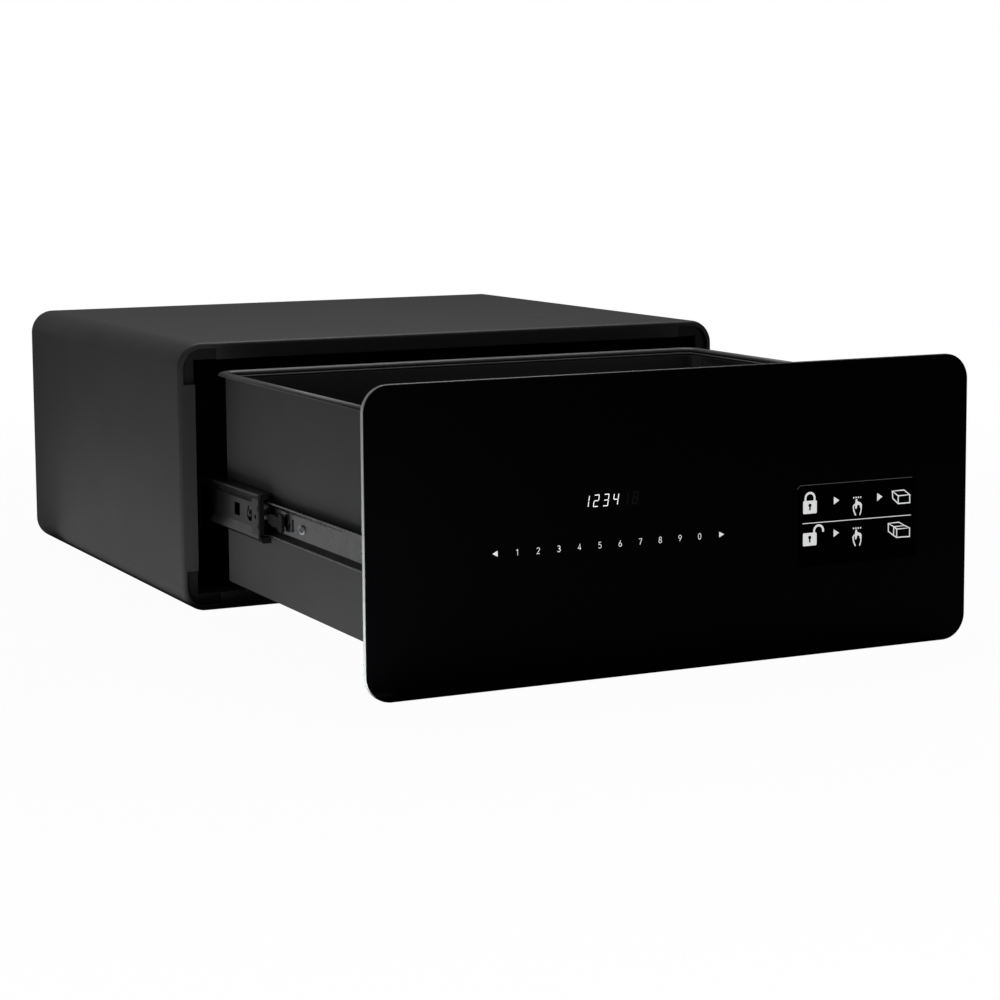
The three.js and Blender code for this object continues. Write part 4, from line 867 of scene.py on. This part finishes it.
class SAFE_OT_lining(bpy.types.Operator):
    """Lining: felt boards on the floor and walls of the drawer, with loose fibres."""
    bl_idname = "safe.lining"
    bl_label = "Felt lining"

    def execute(self, context):
        square_centimetres = 10000
        density = context.scene.safe_fine.felt_fibres * square_centimetres
        # Fibres stand out a little, and the wall boards end under the rim's second bead
        board_edge, stand_out, under_rim = 0.8 * MM, 0.2 * MM, 3.6 * MM
        tree = fibres_tree()
        for part in ("floor", "rear", "left", "right"):
            node = f"liner_{part}"
            board = softened(mesh_object(f"felt_{part}_board", merged(node), finishes["felt"]),
                             board_edge, 3)
            data = board.data
            bpy.data.objects.remove(board)
            piece = grown(f"felt_{part}", tree, data, {
                "Density": density, "Material": finishes["felt"]})
            low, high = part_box(node)
            if part != "floor":
                high.z -= under_rim
            for vertex in piece.data.vertices:
                for axis in range(3):
                    least, most = low[axis] - stand_out, high[axis] + stand_out
                    vertex.co[axis] = max(least, min(most, vertex.co[axis]))
            settle(piece, "drawer", "felt", node)
        return {"FINISHED"}


class SAFE_OT_glass(bpy.types.Operator):
    """Front: the black glass with its ground and polished edge."""
    bl_idname = "safe.glass"
    bl_label = "Glass front"

    def execute(self, context):
        arris = context.scene.safe_fine.glass_arris / MM
        low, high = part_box("glass_panel")
        x0, x1, z0, z1 = low.x / MM, high.x / MM, low.z / MM, high.z / MM
        front, back = low.y / MM, high.y / MM
        corner, corner_steps, ground = 18, 16, arris * 0.3
        mesh = bmesh.new()

        def outline(y, inset):
            """One ring of the glass, that far in from its edge."""
            return ring(mesh, round_box(
                x0 + inset, x1 - inset, z0 + inset, z1 - inset, corner - inset, corner_steps), y)

        rings = [outline(front, arris), outline(front + ground, ground),
                 outline(front + arris, 0), outline(back - arris, 0), outline(back, arris)]
        skin(mesh, rings)
        flats = cap(mesh, rings)
        bmesh.ops.recalc_face_normals(mesh, faces=mesh.faces)
        for face in mesh.faces:
            face.material_index = 0 if face in flats else 1
            face.smooth = face not in flats
        piece = mesh_object("glass_front", mesh, finishes["glass"], finishes["glass_edge"])
        settle(piece, "drawer", "black_glass", "glass_panel")
        return {"FINISHED"}


def glass_front():
    """Where prints lie: just proud of the glass."""
    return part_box("glass_panel")[0].y - PRINT_DEPTH


# Lines of each number in a box that is 2 wide and 2 high about its middle
NUMBERS = {
    "0": [oval(0, 0, 0.95, 1)],
    "1": [[(-0.55, 0.6), (0.25, 1), (0.25, -1)]],
    "2": [oval(0, 0.45, 0.9, 0.55, 165, -25, 10) + [(-0.95, -1), (1, -1)]],
    "3": [oval(-0.1, 0.52, 0.85, 0.48, 150, -90, 10) + oval(-0.1, -0.48, 1, 0.52, 90, -150, 10)],
    "4": [[(0.4, -1), (0.4, 1), (-1, -0.45), (1, -0.45)]],
    "5": [[(0.8, 1), (-0.65, 1), (-0.75, 0.15)] + oval(-0.1, -0.36, 1, 0.64, 115, -150, 10)],
    "6": [oval(0, -0.42, 0.95, 0.58), [(-0.86, -0.2), (0.35, 1)]],
    "7": [[(-1, 1), (1, 1), (-0.25, -1)]],
    "8": [oval(0, 0.51, 0.75, 0.49), oval(0, -0.48, 0.95, 0.52)],
    "9": [oval(0, 0.42, 0.95, 0.58), [(0.86, 0.2), (-0.35, -1)]],
}


class SAFE_OT_keys(bpy.types.Operator):
    """Touch keys: the numbers and two arrows along the strip."""
    bl_idname = "safe.keys"
    bl_label = "Touch keys"

    def execute(self, context):
        sizes = context.scene.safe_prints
        front, white = glass_front(), finishes["key_ink"]
        pitch, line = sizes.key_pitch / MM, sizes.key_line / MM
        tall = (sizes.key_height / MM - line) / 2
        wide = tall * 0.56
        row_middle, row_height, layer = -54.75, -12, 0.002 * MM
        pieces = []
        for place, word in enumerate("1234567890"):
            x = row_middle + (place - 4.5) * pitch
            for k, points in enumerate(NUMBERS[word]):
                placed = [(x + wide * a, row_height + tall * b) for a, b in points]
                pieces.append(ribbon(f"key_{word}_{k}", placed, line, front - k * layer, white))
        for name, loop in (("key_back", [(-140.3, -11.6), (-136.6, -9.7), (-136.6, -13.6)]),
                           ("key_on", [(31.9, -12.0), (28.1, -13.9), (28.1, -10.0)])):
            pieces.append(filled(name, [loop], front, white))
        settle(joined("touch_keys", pieces), "drawer", "black_glass")
        return {"FINISHED"}


# The lit segments of each number, lettered clockwise from the top, with g across the middle
SEGMENTS = {"1": "bc", "2": "abged", "3": "abgcd", "4": "fgbc", "8": "abcdefg"}


def segment_line(name, x, z, height):
    """The two ends of one segment of a leaning digit, in millimetres."""
    half, wide, gap, lean = height / 2, height * 0.22, height * 0.03, 0.16
    (x0, z0), (x1, z1) = {
        "a": ((-wide, half), (wide, half)),
        "g": ((-wide + gap, 0), (wide - gap, 0)),
        "d": ((-wide, -half), (wide, -half)),
        "f": ((-wide, half - gap), (-wide, gap)),
        "b": ((wide, half - gap), (wide, gap)),
        "e": ((-wide, -gap), (-wide, gap - half)),
        "c": ((wide, -gap), (wide, gap - half)),
    }[name]
    return [(x + x0 + lean * z0, z + z0), (x + x1 + lean * z1, z + z1)]


class SAFE_OT_display(bpy.types.Operator):
    """Display: the dark window, the lit number and the unlit places after it."""
    bl_idname = "safe.display"
    bl_label = "Display"

    def execute(self, context):
        sizes = context.scene.safe_prints
        front = glass_front()
        pitch, height = sizes.digit_pitch / MM, sizes.digit_height / MM
        window = round_box(-74.5, -32.5, 11.7, 23.7, 0.6)
        first_digit, row_height, line = -72.1, 17.5, 0.55
        shown, lit_count = "123418", 4
        pieces = [filled("window", [window], front + PRINT_DEPTH / 2, finishes["window"])]
        for place in range(sizes.digit_count):
            for segment in SEGMENTS[shown[place % len(shown)]]:
                ends = segment_line(segment, first_digit + place * pitch, row_height, height)
                pieces.append(ribbon(
                    f"segment_{place}_{segment}", ends, line, front - PRINT_DEPTH / 4,
                    finishes["lit" if place < lit_count else "unlit"]))
        settle(joined("display_face", pieces), "drawer", "black_glass")
        for node in ("display_module", "touch_board"):
            painted(node, "board")
        return {"FINISHED"}


def padlock(x, z, opened):
    """Loops of a padlock: its body with a keyhole, and its shackle."""
    body = [round_box(x - 5.5, x + 5.5, z, z + 8.9, 0.9),
            arc(x, z + 5.7, 1.3, -60, 240, 14) + [(x - 0.65, z + 2.3), (x + 0.65, z + 2.3)]]
    bow, top = (x + 7.1, z + 9.9) if opened else (x, z + 10.6)
    shackle = ([(bow + 4.4, z + 8.9)] + arc(bow, top, 4.4, 0, 180, 14) + [(bow - 4.4, z + 8.8)]
               + [(bow - 2.9, z + 8.8)] + arc(bow, top, 2.9, 180, 0, 14) + [(bow + 2.9, z + 8.9)])
    return body, [shackle]


class SAFE_OT_label(bpy.types.Operator):
    """Label: plain signs for shutting and opening the drawer, with no words."""
    bl_idname = "safe.label"
    bl_label = "Label signs"

    def execute(self, context):
        front, white, layer = glass_front(), finishes["label_ink"], 0.0004 * MM
        field = round_box(89.7, 186.9, -39.7, 16.7, 3.6)
        pieces = [filled("label_field", [field], front + PRINT_DEPTH / 2, finishes["label_black"])]

        def sign(name, loops):
            """A filled sign, each a little proud of the one before."""
            pieces.append(filled(name, loops, front - len(pieces) * layer, white))

        def line(name, points, width, closed=False, material=white):
            """A drawn line, each a little proud of the one before."""
            pieces.append(ribbon(
                name, points, width, front - len(pieces) * layer, material, closed))

        line("top_line", arc(93, 13.3, 3.3, 165, 90, 6) + [(183.4, 16.5)], 0.28,
             material=finishes["label_line"])
        line("middle_line", [(93.9, -9.6), (182.7, -10)], 0.5)
        for row, opened in ((-3.1, False), (-25.2, True)):
            body, shackle = padlock(99.75, row, opened)
            sign("lock", body)
            sign("shackle", shackle)
            z = row + (0.8 if opened else 0)
            sign("palm", [[(136.9, z + 7.4), (138, z + 7.5), (138.4, z + 5.8), (141, z + 4.8),
                           (142, z + 3.4), (141.6, z + 0.6), (140.6, z + 1), (140.2, z + 2.9),
                           (138.4, z + 3.6), (137.6, z + 0.6), (136.6, z + 0.8), (136.4, z + 3.6)]])
            line("thumb", [(136.2, z + 4), (134.9, z + 2.4), (135.4, z - 0.6), (136.9, z - 3.9)], 1.0)
            line("wrist", [(141.5, z + 2), (141.3, z - 1), (140.3, z - 3.9)], 0.9)
            for k in range(4):
                sign("dot", [arc(135.3 + 1.9 * k, z + 8.5, 0.6, 0, 342, 11)])
            tip = row + (7.2 if opened else 7.6)
            sign("arrow", [[(119, tip + 2.7), (119, tip - 2.7), (123.5, tip)]])
        sign("arrow", [[(154.5, 7.3), (154.5, 1.7), (158.9, 4.5)]])
        line("box_top", [(167, 7.7), (176.7, 7.9), (181.6, 4.3), (172, 4.1)], 0.85, True)
        line("box_front", [(181.6, 4.3), (181.7, -1.3), (172, -1.3), (172, 4.1)], 0.85)
        line("box_side", [(167, 7.7), (167.5, 2.6), (172, -1.3)], 0.85)
        line("safe_top", [(163.9, -14.6), (172.8, -14.4), (177.6, -17.1), (168.6, -17.3)], 0.8, True)
        line("safe_side", [(163.9, -14.6), (164.1, -20.2), (168.3, -23.3), (168.6, -17.3)], 0.8)
        line("tray_top", [(168.6, -17.3), (171, -19.1), (181.8, -19), (177.6, -17.1)], 0.8)
        line("tray_front", [(171, -19.1), (171, -24.9), (181.8, -25.1), (181.8, -19)], 0.8)
        line("tray_side", [(168.3, -23.3), (171, -24.9)], 0.8)
        settle(joined("label_signs", pieces), "drawer", "black_glass")
        return {"FINISHED"}


class SAFE_OT_screws(bpy.types.Operator):
    """Screws: pan heads with a cross recess on the drawer, flat heads in the fixed slides."""
    bl_idname = "safe.screws"
    bl_label = "Screws"

    def execute(self, context):
        head = 1.7 * MM
        places, turns, nodes = [], [], []
        for side, way in (("left", -1), ("right", 1)):
            for row in ("front", "middle", "rear"):
                node = f"inner_screw_{side}_{row}"
                low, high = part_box(node)
                seat = low.x + head if way < 0 else high.x - head
                places.append((seat, (low.y + high.y) / 2, (low.z + high.z) / 2))
                turns.append((math.radians(35), way * math.radians(90), 0))
                nodes.append(node)
        for side in ("left", "right"):
            node = f"partition_screw_{side}"
            low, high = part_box(node)
            places.append(((low.x + high.x) / 2, (low.y + high.y) / 2, high.z - head))
            turns.append((0, 0, math.radians(20)))
            nodes.append(node)
        points = points_mesh("screw_places", places, turns)
        piece = grown("drawer_screws", pan_head_tree(), points, {
            "Head height": head, "Material": finishes["bright_zinc"]})
        settle(piece, "drawer", "bright_zinc", *nodes)
        for side in ("left", "right"):
            for row in ("front", "rear"):
                painted(f"outer_screw_{side}_{row}", "bright_zinc")
        return {"FINISHED"}


class SAFE_OT_springs(bpy.types.Operator):
    """Ejector springs: wound wire on posts at the back of the casing."""
    bl_idname = "safe.springs"
    bl_label = "Ejector springs"

    def execute(self, context):
        turns = context.scene.safe_fine.spring_turns
        tree = spring_tree()
        wire = 0.9 * MM
        for side in ("left", "right"):
            low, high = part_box(f"ejector_spring_{side}")
            x, z = (low.x + high.x) / 2, (low.z + high.z) / 2
            piece = grown(f"ejector_coil_{side}", tree, bpy.data.meshes.new("coil"), {
                "Turns": turns, "Wire radius": wire,
                "Length": high.y - low.y - 2 * wire - 0.2 * MM,
                "Seat": (x, high.y - wire - 0.1 * MM, z), "Material": finishes["wire"]})
            for polygon in piece.data.polygons:
                polygon.use_smooth = True
            settle(piece, "casing", "spring_steel", f"ejector_spring_{side}")
            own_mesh(piece)
            painted(f"ejector_post_{side}", "abs")
        return {"FINISHED"}


class SAFE_OT_lock(bpy.types.Operator):
    """Lock: the bolts, their guides, the pinion and the motor on its bracket."""
    bl_idname = "safe.lock"
    bl_label = "Lock works"

    def execute(self, context):
        edge = context.scene.safe_fine.stamped_edge
        for side in ("left", "right"):
            dressed(f"bolt_{side}_fine", f"lock_bolt_{side}", f"bolt_{side}", "hardened_steel",
                    "nickel", edge / 2)
            dressed(f"guide_{side}", f"bolt_guide_{side}", "drawer", "bright_zinc", "bright_zinc",
                    edge)
        dressed("pinion_fine", "lock_pinion", "pinion", "hardened_steel", "nickel", edge / 2)
        for name, node in (("motor_fine", "lock_motor"), ("motor_bracket", "lock_bracket")):
            dressed(name, node, "drawer", "bright_zinc", "bright_zinc", edge)
        return {"FINISHED"}


class SAFE_OT_batteries(bpy.types.Operator):
    """Batteries: the tray, its door and four cells."""
    bl_idname = "safe.batteries"
    bl_label = "Battery bay"

    def execute(self, context):
        edge = context.scene.safe_fine.stamped_edge
        dressed("battery_tray_fine", "battery_tray", "drawer", "black_plastic", "abs", edge)
        dressed("battery_door_fine", "battery_door", "battery_door", "black_plastic", "abs",
                1.5 * edge)
        for row in ("lower", "upper"):
            for column in ("left", "right"):
                dressed(f"cell_{row}_{column}", f"battery_cell_{row}_{column}", "drawer",
                        "cell_wrap", "sleeve", 2 * edge, 3)
        return {"FINISHED"}


# Stage

def soft_lamp(name, place, aim, size, watts):
    """A rectangular lamp that the camera doesn't see, turned to its aim."""
    lamp = bpy.data.lights.new(name, "AREA")
    lamp.shape = "RECTANGLE"
    lamp.size, lamp.size_y = size
    lamp.energy = watts
    holder = new_object(name, lamp)
    holder.visible_camera = False
    holder.location = place
    holder.rotation_euler = (Vector(aim) - Vector(place)).to_track_quat("-Z", "Y").to_euler()
    return holder


def studio_paper():
    """Pale studio paper: white to the camera, with the object's shadow kept faint."""
    material, tree, place = new_material("studio_paper")
    tone = mottled(tree, place, linear("b4b4b4"), 0.4, 0.01)
    paper = add(tree, "ShaderNodeBsdfDiffuse", {"Color": tone})
    white = add(tree, "ShaderNodeEmission", {"Color": (1, 1, 1, 1), "Strength": 1.0})
    path = add(tree, "ShaderNodeLightPath")
    away = add(tree, "ShaderNodeVectorMath", {0: place}, operation="LENGTH").outputs["Value"]
    clean = add(tree, "ShaderNodeMapRange", {
        "Value": away, "From Min": 0.5, "From Max": 1.3, "To Min": 0.97, "To Max": 1.0})
    share = add(tree, "ShaderNodeMath", {0: path.outputs["Is Camera Ray"], 1: clean},
                operation="MULTIPLY")
    surface = add(tree, "ShaderNodeMixShader", {0: share, 1: paper, 2: white})
    add(tree, "ShaderNodeOutputMaterial", {"Surface": surface})
    return material


def studio_world():
    """A world that is white to the camera, dim on coats and brighter behind in reflections."""
    world = bpy.data.worlds.new("studio")
    world.use_nodes = True
    tree = world.node_tree
    tree.nodes.clear()
    path = add(tree, "ShaderNodeLightPath").outputs
    direction = add(tree, "ShaderNodeTexCoord").outputs["Generated"]
    depth = add(tree, "ShaderNodeVectorMath", {0: direction, 1: (-0.5, 0.87, 0)},
                operation="DOT_PRODUCT").outputs["Value"]
    mirrored = add(tree, "ShaderNodeMapRange", {
        "Value": depth, "From Min": 0.5, "From Max": 1.0, "To Min": 0.02, "To Max": 0.4})
    ambient = 0.03
    total = add(tree, "ShaderNodeMath", {
        0: path["Is Camera Ray"], 1: path["Is Transmission Ray"]}, operation="MAXIMUM")
    for ray, level in (("Is Glossy Ray", mirrored), ("Is Diffuse Ray", ambient)):
        share = add(tree, "ShaderNodeMath", {0: path[ray], 1: level}, operation="MULTIPLY")
        total = add(tree, "ShaderNodeMath", {0: total, 1: share}, operation="ADD")
    light = add(tree, "ShaderNodeBackground", {"Color": (1, 1, 1, 1), "Strength": total})
    add(tree, "ShaderNodeOutputWorld", {"Surface": light})
    return world


def photo_camera():
    """The photograph's camera, in the place that was worked out from the casing's edges."""
    # The photograph's width, focal length and middle in pixels, the sensor in millimetres
    picture, sensor = 1000, 36
    focal, centre = 2527.7, (500, 420)
    yaw, pitch, roll = 0.4521, 0.1144, -0.0073
    # Solved from the casing's front, which stands 200 mm before the frame's origin
    place = Vector((-832.96, -1789.79 - 200, 359.67)) * MM
    camera = bpy.data.cameras.new("camera")
    camera.sensor_width = sensor
    camera.lens = focal * sensor / picture
    camera.shift_x = (picture / 2 - centre[0]) / picture
    camera.shift_y = (centre[1] - picture / 2) / picture
    camera.clip_start = 0.05
    camera.clip_end = 50
    look = Vector((math.sin(yaw) * math.cos(pitch), math.cos(yaw) * math.cos(pitch),
                   -math.sin(pitch)))
    level = Vector((math.cos(yaw), -math.sin(yaw), 0))
    up = level.cross(look)
    right = math.cos(roll) * level + math.sin(roll) * up
    above = -math.sin(roll) * level + math.cos(roll) * up
    holder = new_object("camera", camera)
    rows = [(right[k], above[k], -look[k], place[k]) for k in range(3)] + [(0, 0, 0, 1)]
    holder.matrix_world = Matrix(rows)
    return holder


class SAFE_OT_stage(bpy.types.Operator):
    """Stage: pale floor, soft lamps and the camera."""
    bl_idname = "safe.stage"
    bl_label = "Stage"

    def execute(self, context):
        scene = context.scene
        reach, drop = 6, -0.6 * MM
        mesh = bmesh.new()
        corners = [(-reach, -reach), (reach, -reach), (reach, reach), (-reach, reach)]
        mesh.faces.new([mesh.verts.new((x, y, drop)) for x, y in corners])
        mesh_object("floor", mesh, studio_paper())
        scene.world = studio_world()
        soft_lamp("overhead_softbox", (0.3, 0.1, 1.5), (0.2, 0, 0), (1.2, 1.2), 21)
        card = soft_lamp("left_card", (-0.297, -0.5, 0.006), (-0.297, -0.5, 1), (0.13, 1.25), 2.1)
        card.visible_glossy = False
        soft_lamp("drawer_card", (-0.24, -0.4, 0.005), (-0.24, -0.4, 1), (0.06, 0.32), 0.03)
        soft_lamp("left_fill", (-2.4, -1.6, 0.3), (0, -0.3, 0.1), (0.8, 0.6), 0.5)
        soft_lamp("front_fill", (0.8, -3.2, 1.2), (0, -0.4, 0.1), (1.6, 1.2), 2.6)
        scene.camera = photo_camera()
        scene.view_settings.view_transform = "Standard"
        return {"FINISHED"}


class SAFE_PT_panel(bpy.types.Panel):
    """Lists the safe's pieces and settings."""
    bl_label = "Drawer safe"
    bl_idname = "SAFE_PT_panel"
    bl_space_type = "VIEW_3D"
    bl_region_type = "UI"
    bl_category = "Drawer safe"

    def draw(self, context):
        for group in dict(GROUPS):
            settings = getattr(context.scene, group)
            box = self.layout.box()
            for name in settings.bl_rna.properties.keys():
                if name not in ("rna_type", "name"):
                    box.prop(settings, name)
        for operator in OPERATORS:
            self.layout.operator(operator.bl_idname)


OPERATORS = (
    SAFE_OT_casing, SAFE_OT_slides, SAFE_OT_cages, SAFE_OT_drawer, SAFE_OT_lining, SAFE_OT_glass,
    SAFE_OT_keys, SAFE_OT_display, SAFE_OT_label, SAFE_OT_screws, SAFE_OT_springs, SAFE_OT_lock,
    SAFE_OT_batteries, SAFE_OT_stage,
)
GROUPS = (("safe_finishes", SafeFinishes), ("safe_prints", SafePrints), ("safe_fine", SafeFine))


def register():
    for name, group in GROUPS:
        bpy.utils.register_class(group)
        setattr(bpy.types.Scene, name, PointerProperty(type=group))
    for item in (*OPERATORS, SAFE_PT_panel):
        bpy.utils.register_class(item)


def unregister():
    for item in (SAFE_PT_panel, *reversed(OPERATORS)):
        bpy.utils.unregister_class(item)
    for name, group in reversed(GROUPS):
        delattr(bpy.types.Scene, name)
        bpy.utils.unregister_class(group)


def main():
    """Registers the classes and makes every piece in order."""
    register()
    make_finishes()
    for operator in OPERATORS:
        name = operator.bl_idname.split(".")[1]
        if getattr(bpy.ops.safe, name)() != {"FINISHED"}:
            raise RuntimeError(f"{operator.bl_label} was not finished")


if __name__ == "__main__":
    main()
